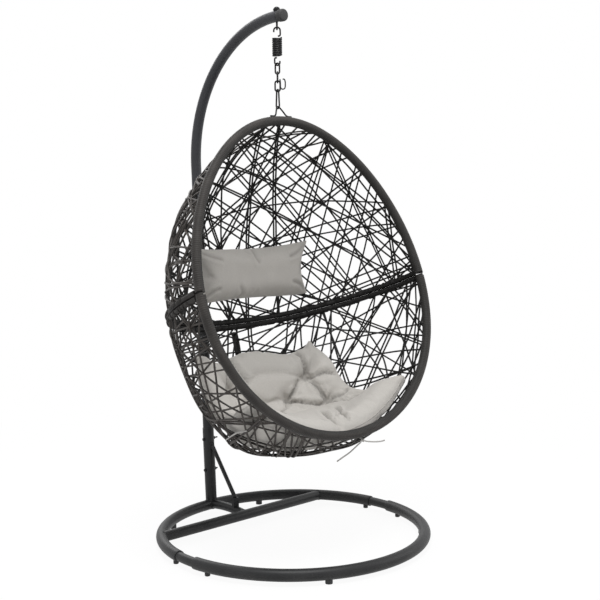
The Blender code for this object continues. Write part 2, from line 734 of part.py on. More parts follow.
def band_line(offset, stop):
    """The band's centre line from rim to rim, raised by an offset, ending short of the rim."""
    s = RIM_HALF_HEIGHT * (cos(BAND_ANGLE) - 1)
    width = rim_angle_width(BAND_ANGLE)
    steps = 400
    line = []
    for i in range(steps + 1):
        angle = pi * i / steps
        x = width * cos(angle)
        line.append(bowl_point(x, s))
    side = rim_point(BAND_ANGLE)
    kept = [p for p in line if min((p - side).length, (p - Vector((-side.x, side.y, side.z))).length) > stop]
    return [p + band_normal() * offset for p in kept]


def band_bars():
    for name, side in (("band_upper", 1), ("band_lower", -1)):
        line = evenly(band_line(side * BAR_OFFSET, RIM_TUBE + 4 * GAP), 20)
        bar = add(name, rod_mesh(name, line, BAR_TUBE, 8), WICKER)
        for x in BAND_BOLTS:
            place = band_place(x)
            reach = band_normal() * 3 * BAR_TUBE
            boolean(bar, cutter(cylinder_mesh("hole", place - reach, place + reach, BOLT_SHANK + GAP, 10)))
    for x, name in zip(BAND_BOLTS, ("left", "back", "right")):
        seat = band_place(x) - band_normal() * (BAR_OFFSET + BAR_TUBE + GAP)
        head = BAND_BOLT_HEAD, BAND_BOLT_HEAD_HEIGHT
        bolt("band_bolt_" + name, seat, band_normal(), BAND_BOLT_LENGTH, *head)


def band_place(x):
    return bowl_point(x, RIM_HALF_HEIGHT * (cos(BAND_ANGLE) - 1))


def meridian(angle, count, stop):
    """A line over the bowl from its middle to near the rim, at equal steps."""
    s_middle = RIM_HALF_HEIGHT * (cos(BAND_ANGLE) - 1)
    x_rim = rim_angle_width(angle)
    s_rim = RIM_HALF_HEIGHT * (cos(angle) - 1)
    rim = rim_point(angle)
    steps = 300
    line = []
    for i in range(steps + 1):
        share = 1 - (1 - i / steps) ** 4
        place = bowl_point(x_rim * share, s_middle + (s_rim - s_middle) * share)
        if (place - rim).length < stop:
            break
        line.append(place)
    return evenly(line, count)


def bowl_surface(rings, columns):
    """The bowl as one open surface, with fewer and wider cells round its middle."""
    bm = bmesh.new()
    bmesh.ops.create_grid(bm, x_segments=rings, y_segments=columns, size=1.0)
    lines = [meridian(2 * pi * j / columns, rings + 1, RIM_TUBE + SHELL_RIM_GAP) for j in range(columns)]
    for vert in bm.verts:
        i = round((vert.co.x + 1) / 2 * rings)
        j = round((vert.co.y + 1) / 2 * columns) % columns
        vert.co = lines[j][i]
    bmesh.ops.remove_doubles(bm, verts=bm.verts, dist=TINY)
    spokes = []
    for j in range(columns):
        for i, keep in ((0, 4), (1, 2)):
            if j % keep:
                spokes.append((lines[j][i], lines[j][i + 1]))
    merged = []
    for edge in bm.edges:
        a, b = edge.verts[0].co, edge.verts[1].co
        for p, q in spokes:
            if (a - p).length + (b - q).length < 2 * TINY or (a - q).length + (b - p).length < 2 * TINY:
                merged.append(edge)
                break
    bmesh.ops.dissolve_edges(bm, edges=merged, use_verts=False)
    bmesh.ops.recalc_face_normals(bm, faces=bm.faces)
    return bm


def open_cells(bm):
    """Cut an opening in each cell that is wide enough, and leave bars between them."""
    wide = [cell for cell in bm.faces if cell.calc_area() / cell.calc_perimeter() > CELL_LEAST]
    bmesh.ops.inset_individual(bm, faces=wide, thickness=CELL_BAR / 2, use_even_offset=True)
    bmesh.ops.delete(bm, geom=wide, context="FACES")


def shells():
    edge = BAR_OFFSET + BAR_TUBE + 2 * GAP
    for name, side in (("shell_upper", 1), ("shell_lower", -1)):
        bm = bowl_surface(SHELL_RINGS, SHELL_COLUMNS)
        place = band_place(0) + band_normal() * edge * side
        bmesh.ops.bisect_plane(
            bm,
            geom=bm.verts[:] + bm.edges[:] + bm.faces[:],
            dist=TINY,
            plane_co=place,
            plane_no=band_normal() * side,
            clear_inner=True,
        )
        open_cells(bm)
        mesh = bpy.data.meshes.new(name)
        bm.to_mesh(mesh)
        bm.free()
        shell = add(name, mesh, WICKER)
        step = shell.modifiers.new("wall", "SOLIDIFY")
        step.thickness = SHELL_THICKNESS
        step.offset = 0.0
        step.use_rim = True
        if side < 0:
            for x in BAND_BOLTS:
                place = band_place(x) - band_normal() * edge
                reach = band_normal() * 2 * BAND_BOLT_HEAD_HEIGHT
                ends = place - reach, place + reach
                boolean(shell, cutter(cylinder_mesh("notch", *ends, BAND_BOLT_NOTCH, 12)))


def rib_line():
    """The rib's centre line down the back, just outside the shell."""
    s_top = RIM_HALF_HEIGHT * (cos(BAND_ANGLE) - 1)
    steps = 120
    line = []
    for i in range(steps + 1):
        s = s_top + (RIB_END - s_top) * i / steps
        line.append(bowl_point(0, s) - bowl_normal(0, s) * (RIB_THICK + SHELL_THICKNESS / 2 + 2 * GAP))
    band = band_place(0)
    return evenly([p for p in line if (band - p).dot(band_normal()) > BAND_CLEAR], 12)


def flat_rod(name, points, radius, sides):
    """A rod along a line in the middle plane, widened across it."""
    mesh = rod_mesh(name, points, radius, sides)
    mesh.transform(Matrix.Diagonal((RIB_WIDE, 1.0, 1.0, 1.0)))
    return mesh


def rib():
    """The wrapped rib down the back of the lower bowl."""
    add("lower_rib", flat_rod("rib", rib_line(), RIB_THICK, 8), WICKER)


# --- cushions ---

def soft(name, columns, rows, place, fullness, thickness, spec):
    """A stuffed cushion: a sheet at its middle, thickened by its fullness and rounded."""
    bm = bmesh.new()
    bmesh.ops.create_grid(bm, x_segments=columns, y_segments=rows, size=1.0)
    mesh = bpy.data.meshes.new(name)
    values = []
    for vert in bm.verts:
        a, b = vert.co.x, vert.co.y
        values.append(fullness(a, b))
        vert.co = place(a, b, values[-1] * thickness)
    bmesh.ops.recalc_face_normals(bm, faces=bm.faces)
    bm.to_mesh(mesh)
    bm.free()
    item = add(name, mesh, spec)
    group = item.vertex_groups.new(name="fullness")
    for index, value in enumerate(values):
        group.add([index], value, "REPLACE")
    wall = item.modifiers.new("filling", "SOLIDIFY")
    wall.thickness = thickness
    wall.offset = 0.0
    wall.use_rim = True
    wall.vertex_group = "fullness"
    rounding = item.modifiers.new("rounding", "SUBSURF")
    rounding.levels = 1
    rounding.render_levels = 1
    return item


def crown(a, b, edge):
    """How full a cushion is at a place from -1 to 1 each way."""
    body = (1 - min(1.0, abs(a)) ** 4) ** 0.5 * (1 - min(1.0, abs(b)) ** 4) ** 0.5
    return edge + (1 - edge) * body


def along(table, value):
    """A value read from a short table of pairs, smoothly."""
    for (x0, y0), (x1, y1) in zip(table, table[1:]):
        if value <= x1:
            share = max(0.0, (value - x0) / (x1 - x0))
            return y0 + (y1 - y0) * share * share * (3 - 2 * share)
    return table[-1][1]


def seat_column(x):
    """The seat's line over the bowl at a width, from the back's top edge to the front."""
    width = abs(x)
    low, high = BAND_ANGLE, pi
    for _ in range(40):
        middle = (low + high) / 2
        if rim_angle_width(middle) > width:
            low = middle
        else:
            high = middle
    s_low = RIM_HALF_HEIGHT * (cos(low) - 1)
    top = along(SEAT_TOP, width)
    rim = rim_point(low)
    rim.x = x
    steps = 400
    line = []
    for i in range(steps + 1):
        share = 1 - (1 - i / steps) ** 4
        s = -0.5 * RIM_HALF_HEIGHT + (s_low + 0.5 * RIM_HALF_HEIGHT) * share
        place = bowl_point(x, s)
        if place.z > top and not line:
            continue
        if (place - rim).length < SEAT_FRONT_GAP:
            break
        line.append((s, place))
    return line


def seat_place(a, b, thick):
    """Middle of the seat cushion at a across and b from front (-1) to the back's top (1)."""
    share = (1 - b) / 2
    x = a * along(SEAT_HALVES, share)
    line = seat_column(x)
    lengths = [0.0]
    for (_, p), (_, q) in zip(line, line[1:]):
        lengths.append(lengths[-1] + (q - p).length)
    want = lengths[-1] * share
    k = 0
    while k < len(line) - 2 and lengths[k + 1] < want:
        k += 1
    s, place = line[k + 1] if lengths[k + 1] - want < want - lengths[k] else line[k]
    return place + bowl_normal(x, s) * (SHELL_THICKNESS / 2 + SEAT_GAP + thick / 2)


def seat_fullness(a, b):
    full = crown(a, b, SEAT_EDGE)
    for ta, tb in TUFTS:
        near = ((a - ta) / 0.20) ** 2 + ((b - tb) / 0.17) ** 2
        full *= 1 - 0.55 * max(0.0, 1 - near)
    return full


def seat_cushion():
    soft("seat_cushion", 11, 9, seat_place, seat_fullness, SEAT_THICK, FABRIC)


def pillow_place(a, b, thick):
    x = PILLOW_X + a * PILLOW_HALF * (1 - 0.08 * (1 - b * b) * abs(a) ** 3)
    drawn = 0.26 if b > 0 else 0.12
    s = PILLOW_S + b * PILLOW_HALF_HEIGHT * (1 - drawn * (1 - a * a) * abs(b) ** 3) - 0.2 * x * x
    return bowl_point(x, s) + bowl_normal(x, s) * (SHELL_THICKNESS / 2 + PILLOW_GAP + thick / 2)


def pillow_fullness(a, b):
    return crown(a, b, 0.12)


def head_pillow():
    soft("head_pillow", 8, 5, pillow_place, pillow_fullness, PILLOW_THICK, FABRIC)


# --- cushion ties, free cords that come out through the weave ---

TIE_LEFT = (
    (-0.356, -0.192, 0.490),
    (-0.358, -0.168, 0.483),
    (-0.357, -0.144, 0.476),
    (-0.348, -0.103, 0.458),
    (-0.319, -0.037, 0.429),
)
TIE_KNOT = (0.031, -0.358, 0.4200)
TIE_RIGHT_SHORT = (
    (0.037, -0.362, 0.4185),
    (0.047, -0.372, 0.4160),
    (0.063, -0.387, 0.4150),
    (0.078, -0.401, 0.4165),
    (0.088, -0.410, 0.4200),
)
TIE_RIGHT_LONG = (
    (0.024, -0.356, 0.4150),
    (0.011, -0.348, 0.4020),
    (-0.007, -0.332, 0.3800),
    (-0.027, -0.314, 0.3610),
    (-0.041, -0.302, 0.3480),
)


def ties():
    for name, route in (
        ("tie_left", TIE_LEFT),
        ("tie_right_short", TIE_RIGHT_SHORT),
        ("tie_right_long", TIE_RIGHT_LONG),
    ):
        line = evenly(hermite(route, 8), TIE_POINTS)
        add(name, rod_mesh(name, line, TIE_RADIUS, 6), TAPE)
    bm = bmesh.new()
    bmesh.ops.create_uvsphere(bm, u_segments=12, v_segments=8, radius=TIE_KNOT_RADIUS)
    bmesh.ops.transform(bm, matrix=Matrix.Translation(TIE_KNOT), verts=bm.verts)
    add("tie_knot", mesh_from(bm, "knot"), TAPE)


# --- joints: each moving piece has its origin on its joint ---

UPPER_HOOK = ("spring_hook_upper",)
SPRING = ("spring_coil",)
LOWER_HOOK = ("spring_hook_lower",)
CHAIN = ("chain_link_1", "chain_link_2", "chain_link_3", "long_ring")
SPARE = ("spare_hook",)
EGG = (
    "hanger_bracket", "rim_upper", "rim_lower", "band_upper", "band_lower", "shell_upper", "shell_lower",
    "lower_rib", "band_bolt_left", "band_bolt_back", "band_bolt_right", "seat_cushion", "head_pillow",
    "tie_left", "tie_right_short", "tie_right_long", "tie_knot",
)


def pivot(names, place):
    """Move the pieces' origins to a joint, leaving their shapes where they are."""
    for name in names:
        item = PARTS.objects[name]
        item.data.transform(Matrix.Translation(-place))
        item.location = place


def joints(third, apex_z):
    hook_z = EYE_Z - EYE_RADIUS + EYE_WIRE
    pivot(UPPER_HOOK, Vector((0, HOOK_Y, hook_z)))
    pivot(SPRING, Vector((0, HOOK_Y, COIL_TOP)))
    pivot(LOWER_HOOK, Vector((0, HOOK_Y, COIL_BOTTOM)))
    pivot(CHAIN, Vector((0, HOOK_Y, LOWER_HOOK_Z + WIRE)))
    pivot(SPARE, plumb(CHAIN_TURN, LINK_RADIUS, third - SPARE_DROP))
    pivot(EGG, Vector((0, HOOK_Y, apex_z - WIRE)))
    heights = hook_z, LOWER_HOOK_Z + WIRE, third - SPARE_DROP, apex_z - WIRE
    print("joint heights:", [round(z, 4) for z in heights])


clear_scene()
PARTS = collection("hanging_egg_chair")
CUTTERS = collection("cutters")
base_ring()
base_bars()
feet()
post_and_arm()
brace()
spring_and_hooks()
third_link, apex = chain()
spare_hook(third_link)
hanger_bracket(apex)
rims()
band_bars()
shells()
rib()
seat_cushion()
head_pillow()
ties()
joints(third_link, apex)
print("sub-parts:", len(PARTS.objects))
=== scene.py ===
# %% [markdown]
# # A hanging egg chair
#
# The chair is a woven egg with a thick seat pad and a small head pillow. It hangs by a spring and a short
# chain from a bent steel arm, which stands on a round tube base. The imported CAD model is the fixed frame:
# every piece here is made in its place, in metres, and rides on one of its bodies.

from contextlib import contextmanager
from math import cos, pi, radians, sin, tan

import bmesh
import bpy
import numpy as np
from mathutils import Matrix, Vector, noise
from mathutils.bvhtree import BVHTree
from mathutils.kdtree import KDTree


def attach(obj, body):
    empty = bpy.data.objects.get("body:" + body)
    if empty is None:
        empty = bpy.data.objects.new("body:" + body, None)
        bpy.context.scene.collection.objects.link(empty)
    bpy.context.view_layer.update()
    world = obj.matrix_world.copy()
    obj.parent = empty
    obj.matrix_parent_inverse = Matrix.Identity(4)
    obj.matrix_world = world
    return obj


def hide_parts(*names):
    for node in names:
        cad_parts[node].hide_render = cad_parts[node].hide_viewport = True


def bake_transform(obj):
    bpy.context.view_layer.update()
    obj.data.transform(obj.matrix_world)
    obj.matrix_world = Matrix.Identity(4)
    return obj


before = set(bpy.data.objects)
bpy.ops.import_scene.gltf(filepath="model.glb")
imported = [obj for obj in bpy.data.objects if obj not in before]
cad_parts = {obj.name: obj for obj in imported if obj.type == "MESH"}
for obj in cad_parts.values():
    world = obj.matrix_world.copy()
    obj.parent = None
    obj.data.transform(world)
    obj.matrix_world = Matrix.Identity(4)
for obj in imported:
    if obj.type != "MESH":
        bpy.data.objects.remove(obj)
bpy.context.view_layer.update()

# %% [markdown]
# ## The camera
#
# The photograph is taken from the chair's left front, a little above the seat. A camera is a place, a
# direction and a lens. We turn it by three angles, because that is how one would describe the shot: round
# the chair, down towards it, and a slight roll of the horizon.

# %% Camera
CAMERA_PLACE = Vector((-2.6979, -2.9660, 1.2886))
CAMERA_ROUND = radians(-43.0508)
CAMERA_DOWN = radians(5.6685)
CAMERA_ROLL = radians(-0.5829)
FOCAL = 1100.0              # in pixels of a 600 pixel wide picture
PICTURE = 600.0

bpy.ops.object.camera_add(location=CAMERA_PLACE)
camera = bpy.context.object
camera.name = "camera"
camera.data.sensor_width = 36.0
camera.data.lens = FOCAL / PICTURE * camera.data.sensor_width
away = Vector((
    sin(CAMERA_ROUND) * cos(CAMERA_DOWN),
    -cos(CAMERA_ROUND) * cos(CAMERA_DOWN),
    sin(CAMERA_DOWN),
))
level = Vector((cos(CAMERA_ROUND), sin(CAMERA_ROUND), 0.0))
over = away.cross(level)
right = level * cos(CAMERA_ROLL) + over * sin(CAMERA_ROLL)
top = over * cos(CAMERA_ROLL) - level * sin(CAMERA_ROLL)
camera.matrix_world = Matrix.Translation(CAMERA_PLACE) @ Matrix((right, top, away)).transposed().to_4x4()
bpy.context.scene.camera = camera
print("lens:", round(camera.data.lens, 2), "mm")

# %% [markdown]
# ## The chair's main sizes
#
# These are the same values as in the CAD source. The egg's rim is a flat egg-shaped ring that leans back,
# and the bowl behind it is one smooth surface, so a few numbers describe both.

# %% Sizes
HOOK_Y = 0.029
RIM_TUBE = 0.017
RIM_HALF_WIDTH = 0.532
RIM_HALF_HEIGHT = 0.575
RIM_EGG = 0.0973
RIM_LEAN = radians(18.15)
RIM_TOP_Y = 0.007
RIM_TOP_Z = 1.5402
BOWL_DEPTH = 0.514
DEPTH_POWERS = (0.489, 0.457)
DEPTH_SHIFT = -0.15
SECTION_POWER = 2.232
DIP = radians(21.4)
DIP_SLOPE = -0.115
DIP_CURVE = 0.233
FLAT_Z = 0.3588
FLAT_ROUND = 0.026
BAND_ANGLE = radians(93.1)
BAND_S = RIM_HALF_HEIGHT * (cos(BAND_ANGLE) - 1)
BAR_TUBE = 0.0097
BAR_OFFSET = 0.0100
BAND_NORMAL = np.array((0.0, sin(DIP), cos(DIP)))


def rim_width(angle):
    return RIM_HALF_WIDTH * np.sin(angle) * (1 - RIM_EGG * np.cos(angle))


def rim_point(angle):
    """Points of the rim's centre line, by their angle from the top."""
    s = RIM_HALF_HEIGHT * (np.cos(angle) - 1)
    return np.stack([
        rim_width(angle),
        RIM_TOP_Y + s * sin(RIM_LEAN),
        RIM_TOP_Z + s * cos(RIM_LEAN),
    ], axis=-1)


def bowl_point(x, s):
    """Points of the bowl, behind x across and s up the rim's plane."""
    x, s = np.broadcast_arrays(np.asarray(x, float), np.asarray(s, float))
    c = np.clip(1 + s / RIM_HALF_HEIGHT, -1.0, 1.0)
    angle = np.arccos(c)
    width = np.maximum(rim_width(angle), 1e-9)
    share = np.minimum(1.0, np.abs(x) / width)
    fall = c - cos(BAND_ANGLE)
    power = np.where(fall > 0, *DEPTH_POWERS)
    depth = BOWL_DEPTH * (np.sin(angle) / sin(BAND_ANGLE)) ** power * (1 + DEPTH_SHIFT * fall)
    depth = depth * (1 - share ** SECTION_POWER) ** (1 / SECTION_POWER)
    dip = DIP + DIP_SLOPE * fall + DIP_CURVE * fall ** 2
    y = RIM_TOP_Y + s * sin(RIM_LEAN) + depth * np.cos(dip)
    z = RIM_TOP_Z + s * cos(RIM_LEAN) - depth * np.sin(dip) - FLAT_Z
    return np.stack([x, y, FLAT_Z + (z + np.sqrt(z * z + FLAT_ROUND ** 2)) / 2], axis=-1)


def bowl_normal(x, s):
    """The bowl's normals at the same places, facing the sitter."""
    step = 0.0005
    across = bowl_point(x + step, s) - bowl_point(x - step, s)
    down = bowl_point(x, s - step) - bowl_point(x, s + step)
    normal = np.cross(across, down)
    normal /= np.linalg.norm(normal, axis=-1, keepdims=True)
    inside = np.array((0, RIM_TOP_Y - 0.10, 0.95)) - bowl_point(x, s)
    return normal * np.sign(np.sum(normal * inside, axis=-1, keepdims=True))


print("rim:", round(2 * RIM_HALF_WIDTH, 3), "m wide,", round(2 * RIM_HALF_HEIGHT, 3), "m long")

# %% [markdown]
# ## A small language for finishes
#
# A material is a net of nodes. Drawn by hand it is easy to read, but written out it is not, so we wrap a
# node's socket in a class that understands + - * and /. A pattern is then an ordinary expression, and each
# operator adds its Math node. Every other node is made by one method, which takes the node's type, its
# settings, and what goes into its sockets.

# %% Finishes: the classes
class Signal:
    """A number, colour or vector that leaves a node, for use in expressions."""

    def __init__(self, net, socket):
        self.net = net
        self.socket = socket

    def maths(self, operation, *others):
        sockets = dict(enumerate((self, *others)))
        return self.net.node("ShaderNodeMath", {"operation": operation}, sockets)

    def __add__(self, other):
        return self.maths("ADD", other)

    def __sub__(self, other):
        return self.maths("SUBTRACT", other)

    def __mul__(self, other):
        return self.maths("MULTIPLY", other)

    def __truediv__(self, other):
        return self.maths("DIVIDE", other)

    def __rsub__(self, other):
        return self.net.node("ShaderNodeMath", {"operation": "SUBTRACT"}, {0: other, 1: self})

    __radd__ = __add__
    __rmul__ = __mul__

    def between(self, low, high):
        """0 below low, 1 above high, and a smooth step in between."""
        sockets = {"Value": self, "From Min": low, "From Max": high}
        return self.net.node("ShaderNodeMapRange", {"interpolation_type": "SMOOTHSTEP"}, sockets)


class Net:
    """A tree of nodes, and the one method that adds to it."""

    def __init__(self, tree):
        self.tree = tree

    def node(self, kind, settings=None, sockets=None, output=0):
        made = self.tree.nodes.new(kind)
        for name, value in (settings or {}).items():
            setattr(made, name, value)
        for name, value in (sockets or {}).items():
            target = made.inputs[name]
            if isinstance(value, Signal):
                self.tree.links.new(value.socket, target)
            elif target.type == "RGBA":
                target.default_value = (*value, 1.0)
            else:
                target.default_value = value
        return Signal(self, made.outputs[output]) if len(made.outputs) else None

    def blend(self, share, first, second):
        """A colour between two, by a share from 0 to 1."""
        return self.node("ShaderNodeMix", {"data_type": "RGBA"}, {0: share, 6: first, 7: second}, output=2)


class Finish(Net):
    """A material with its Principled shader."""

    def __init__(self, name, **constants):
        self.material = bpy.data.materials.new(name)
        self.material.use_nodes = True
        super().__init__(self.material.node_tree)
        self.shader = self.tree.nodes["Principled BSDF"]
        for socket, value in constants.items():
            self.shader.inputs[socket.replace("_", " ")].default_value = value

    def feed(self, socket, signal):
        self.tree.links.new(signal.socket, self.shader.inputs[socket])

    def place(self, stretch=(1, 1, 1)):
        """The surface's own place in metres, scaled along each axis."""
        where = self.node("ShaderNodeTexCoord", output="Object")
        return self.node("ShaderNodeMapping", None, {"Vector": where, "Scale": stretch})

    def noise(self, vector, scale, detail=3.0, roughness=0.55):
        sockets = {"Vector": vector, "Scale": scale, "Detail": detail, "Roughness": roughness}
        return self.node("ShaderNodeTexNoise", None, sockets, output="Fac")

    def relief(self, height, depth, strength=1.0):
        """Raise or sink the surface's light by a height signal, depth being its full height in metres."""
        sockets = {"Height": height, "Distance": depth, "Strength": strength}
        self.feed("Normal", self.node("ShaderNodeBump", None, sockets, output="Normal"))


def times(colour, factor):
    return tuple(min(1.0, factor * c) for c in colour)


print("an expression such as 1 - mask * 0.5 now makes its own nodes")

# %% [markdown]
# ## Powder-coated steel
#
# The stand is steel tube with a baked powder coat: a dull grey with the faint pimpled texture of powder that
# has melted and flowed. We give it a fine bump, a slight change of shade over a hand's width, a few paler
# rubs, and some dust near the floor.

# %% Powder coats
def powder_coat(name, colour, dust):
    """A powder coat, dusty by a share near the floor."""
    coat = Finish(name, Metallic=0.0, Specular_IOR_Level=0.28)
    where = coat.place()
    pimples = coat.noise(where, 900.0, 1.0)
    cloud = coat.noise(where, 9.0, 4.0)
    rubs = coat.noise(coat.place((1, 1, 0.4)), 38.0, 5.0, 0.7).between(0.64, 0.80)
    shade = coat.blend(cloud.between(0.3, 0.7), times(colour, 0.90), times(colour, 1.10))
    shade = coat.blend(rubs * 0.14, shade, times(colour, 1.8))
    height = coat.node("ShaderNodeSeparateXYZ", None, {0: where}, output="Z")
    low = (1 - height.between(0.0, 0.06)) * cloud.between(0.35, 0.65) * dust
    shade = coat.blend(low, shade, (0.17, 0.16, 0.15))
    coat.feed("Base Color", shade)
    coat.feed("Roughness", 0.40 + cloud * 0.12 + rubs * 0.10)
    coat.relief(pimples, 0.00006, 0.35)
    return coat.material


POST_COAT = powder_coat("post_powder_coat", (0.034, 0.035, 0.0395), dust=0.0)
# The base's coat is the post's at about half its shade: painted shade for the base and the lower post, which
# stand in the egg's shadow. Only the base's coat has dust.
SHADED_BASE_COAT = powder_coat("shaded_base_powder_coat", (0.0165, 0.0170, 0.0178), dust=0.12)
print("made", POST_COAT.name, "and", SHADED_BASE_COAT.name)

# %% [markdown]
# ## Black fittings, rubber and tape
#
# The spring, chain and bolts are black and slightly shiny where they rub. The glides and the arm's cap are
# matt rubber or plastic.

# %% Fittings
def black_steel():
    steel = Finish("dark_steel", Metallic=0.0, Specular_IOR_Level=0.27)
    where = steel.place()
    worn = steel.noise(where, 160.0, 4.0).between(0.60, 0.74)
    steel.feed("Base Color", steel.blend(worn * 0.4, (0.0065, 0.0065, 0.007), (0.045, 0.044, 0.042)))
    steel.feed("Roughness", 0.46 - worn * 0.14)
    steel.relief(steel.noise(where, 900.0, 2.0), 0.00006, 0.4)
    return steel.material


def rubber():
    cap = Finish("matt_rubber", Metallic=0.0)
    grain = cap.noise(cap.place(), 420.0, 3.0)
    cap.feed("Base Color", cap.blend(grain.between(0.35, 0.7), (0.018, 0.018, 0.018), (0.034, 0.034, 0.035)))
    cap.feed("Roughness", 0.58 + grain * 0.2)
    cap.relief(grain, 0.00010, 0.5)
    return cap.material


BLACK_STEEL = black_steel()
RUBBER = rubber()
print("made", BLACK_STEEL.name, "and", RUBBER.name)

# %% [markdown]
# ## Resin strand
#
# The weave is extruded resin made to look like cane. Each strand has fine grooves along its length, and its
# shade drifts from strand to strand. The side that faces out of the egg keeps the strand's warm grey-brown,
# while the side that faces the sitter is painted almost black: painted shade for the dark inside of the egg,
# which follows which way the surface faces from the egg's middle.

# %% Resin strand
EGG_MIDDLE = (0.0, -0.02, 0.93)


def resin(name, outer, inner, groove_depth):
    """A grooved strand, with painted shade, almost black, on the side that faces the egg's inside."""
    strand = Finish(name, Metallic=0.0, Specular_IOR_Level=0.25)
    along = strand.node("ShaderNodeUVMap", {"uv_map": "along"})
    shift = strand.node("ShaderNodeAttribute", {"attribute_name": "shade"}, output="Fac")
    lines = strand.node("ShaderNodeMapping", None, {"Vector": along, "Scale": (14.0, 420.0, 1.0)})
    grooves = strand.noise(lines, 1.0, 3.0, 0.6)
    facing = strand.node("ShaderNodeTexCoord", output="Normal")
    where = strand.node("ShaderNodeTexCoord", output="Object")
    out = strand.node("ShaderNodeVectorMath", {"operation": "SUBTRACT"}, {0: where, 1: EGG_MIDDLE})
    out = strand.node("ShaderNodeVectorMath", {"operation": "NORMALIZE"}, {0: out})
    settings = {"operation": "DOT_PRODUCT"}
    outward = strand.node("ShaderNodeVectorMath", settings, {0: facing, 1: out}, output="Value")
    # painted shade: a surface that faces the egg's middle takes the inner colour, for the shade inside the
    # egg
    unshaded_share = outward.between(-0.25, 0.55)
    streak = grooves.between(0.35, 0.72) * 0.45 + shift * 0.35 + strand.noise(where, 22.0, 3.0) * 0.2
    dark = strand.blend(streak, times(inner, 0.6), times(inner, 1.4))
    pale = strand.blend(streak, times(outer, 0.50), times(outer, 1.45))
    strand.feed("Base Color", strand.blend(unshaded_share, dark, pale))
    strand.feed("Roughness", 0.46 + grooves * 0.22)
    strand.relief(grooves, groove_depth, 0.5)
    return strand.material


# The second colour of each finish is painted shade, for the strand's side that faces into the egg.
WEAVE = resin("weave_strand", (0.058, 0.051, 0.046), (0.009, 0.0087, 0.0084), 0.0003)
WRAP = resin("wound_strand", (0.042, 0.038, 0.035), (0.026, 0.0245, 0.023), 0.00015)
DARK_WRAP = resin("band_strand", (0.030, 0.027, 0.025), (0.008, 0.0077, 0.0075), 0.0003)
print("made", WEAVE.name, WRAP.name, DARK_WRAP.name)

# %% [markdown]
# ## Cushion cloth
#
# The cushions are plain woven polyester in a light warm grey. Seen close, the cloth is a grid of threads
# with flecks of lighter and darker yarn. We make the threads from two sets of waves on the cloth's own UV
# map, and the flecks from noise that is stretched along each set.

# %% Cushion cloth
THREAD = 0.0012             # distance between threads


def cloth(name, colour, thread=THREAD, relief=0.00022):
    """Plain woven cloth; a stored point attribute darkens it as painted shade in folds, tufts and the seat's
    back.
    """
    cover = Finish(name, Metallic=0.0, Sheen_Weight=0.12, Sheen_Roughness=0.5, Specular_IOR_Level=0.2)
    sheet = cover.node("ShaderNodeUVMap", {"uv_map": "cloth"})
    u = cover.node("ShaderNodeSeparateXYZ", None, {0: sheet}, output="X")
    v = cover.node("ShaderNodeSeparateXYZ", None, {0: sheet}, output="Y")
    warp = (u * (2 * pi / thread)).maths("SINE") * 0.5 + 0.5
    weft = (v * (2 * pi / thread)).maths("SINE") * 0.5 + 0.5
    plain = ((u / (2 * thread)).maths("FRACT") - 0.5) * ((v / (2 * thread)).maths("FRACT") - 0.5)
    over_under = plain.maths("SIGN") * 0.5 + 0.5
    weave = warp * over_under + weft * (1 - over_under)
    along_u = cover.node("ShaderNodeMapping", None, {"Vector": sheet, "Scale": (70, 700, 1)})
    along_v = cover.node("ShaderNodeMapping", None, {"Vector": sheet, "Scale": (700, 70, 1)})
    flecks = (cover.noise(along_u, 1.0, 2.0) + cover.noise(along_v, 1.0, 2.0)) * 0.5
    cloud = cover.noise(cover.place(), 9.0, 4.0)
    yarn = flecks.between(0.32, 0.68) * 0.7 + weave * 0.3
    shade = cover.blend(yarn, times(colour, 0.90), times(colour, 1.06))
    shade = cover.blend(cloud.between(0.40, 0.70) * 0.2, shade, times(colour, 0.90))
    # painted shade: a stored attribute darkens the cloth in tuft hollows, folds and the seat's back panel
    painted_shade = cover.node("ShaderNodeAttribute", {"attribute_name": "painted_shade"}, output="Fac")
    shade = cover.blend(painted_shade * 0.75, shade, times(colour, 0.42))
    cover.feed("Base Color", shade)
    cover.feed("Roughness", 0.88 + weave * 0.08)
    cover.relief(weave + flecks * 0.5, relief, 0.4)
    return cover.material


SEAT_CLOTH = cloth("seat_cloth", (0.485, 0.465, 0.436))
# The pillow's cloth is the seat's cloth at about 0.86 of its colour: painted shade for the pillow's place on
# the egg's back.
SHADED_PILLOW_CLOTH = cloth("shaded_pillow_cloth", (0.415, 0.397, 0.372))
TAPE_CLOTH = cloth("tape_cloth", (0.40, 0.39, 0.375), thread=0.0006, relief=0.0001)
print("made", SEAT_CLOTH.name, SHADED_PILLOW_CLOTH.name, TAPE_CLOTH.name)

# %% [markdown]
# ## Tools for lines and pieces
#
# Strands, wires, cords and bent tubes all follow a line. We add Blender's own path curve, give it the line's
# points, thicken it with its bevel and convert it to a mesh. Where the finish has a grain, the helper also
# writes a UV map whose first number is the distance along the strand.

# %% Helpers: selecting and finishing
def only(item):
    """Deselect everything, then select and activate one object."""
    bpy.ops.object.select_all(action="DESELECT")
    item.select_set(True)
    bpy.context.view_layer.objects.active = item
    return item


@contextmanager
def editing(item, select="SELECT"):
    """Edit mode on one object, with all of its mesh selected or none of it."""
    only(item)
    bpy.ops.object.mode_set(mode="EDIT")
    bpy.ops.mesh.select_all(action=select)
    yield
    bpy.ops.object.mode_set(mode="OBJECT")


def apply_all(item):
    only(item)
    for step in list(item.modifiers):
        bpy.ops.object.modifier_apply(modifier=step.name)
    return item


def finished(item, body, material, *nodes):
    """Put its place in the mesh, give it a material and a body, and hide the CAD nodes it stands for."""
    only(item)
    bpy.ops.object.transform_apply(location=True, rotation=True, scale=True)
    item.data.materials.clear()
    item.data.materials.append(material)
    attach(item, body)
    if nodes:
        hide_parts(*nodes)
    return item


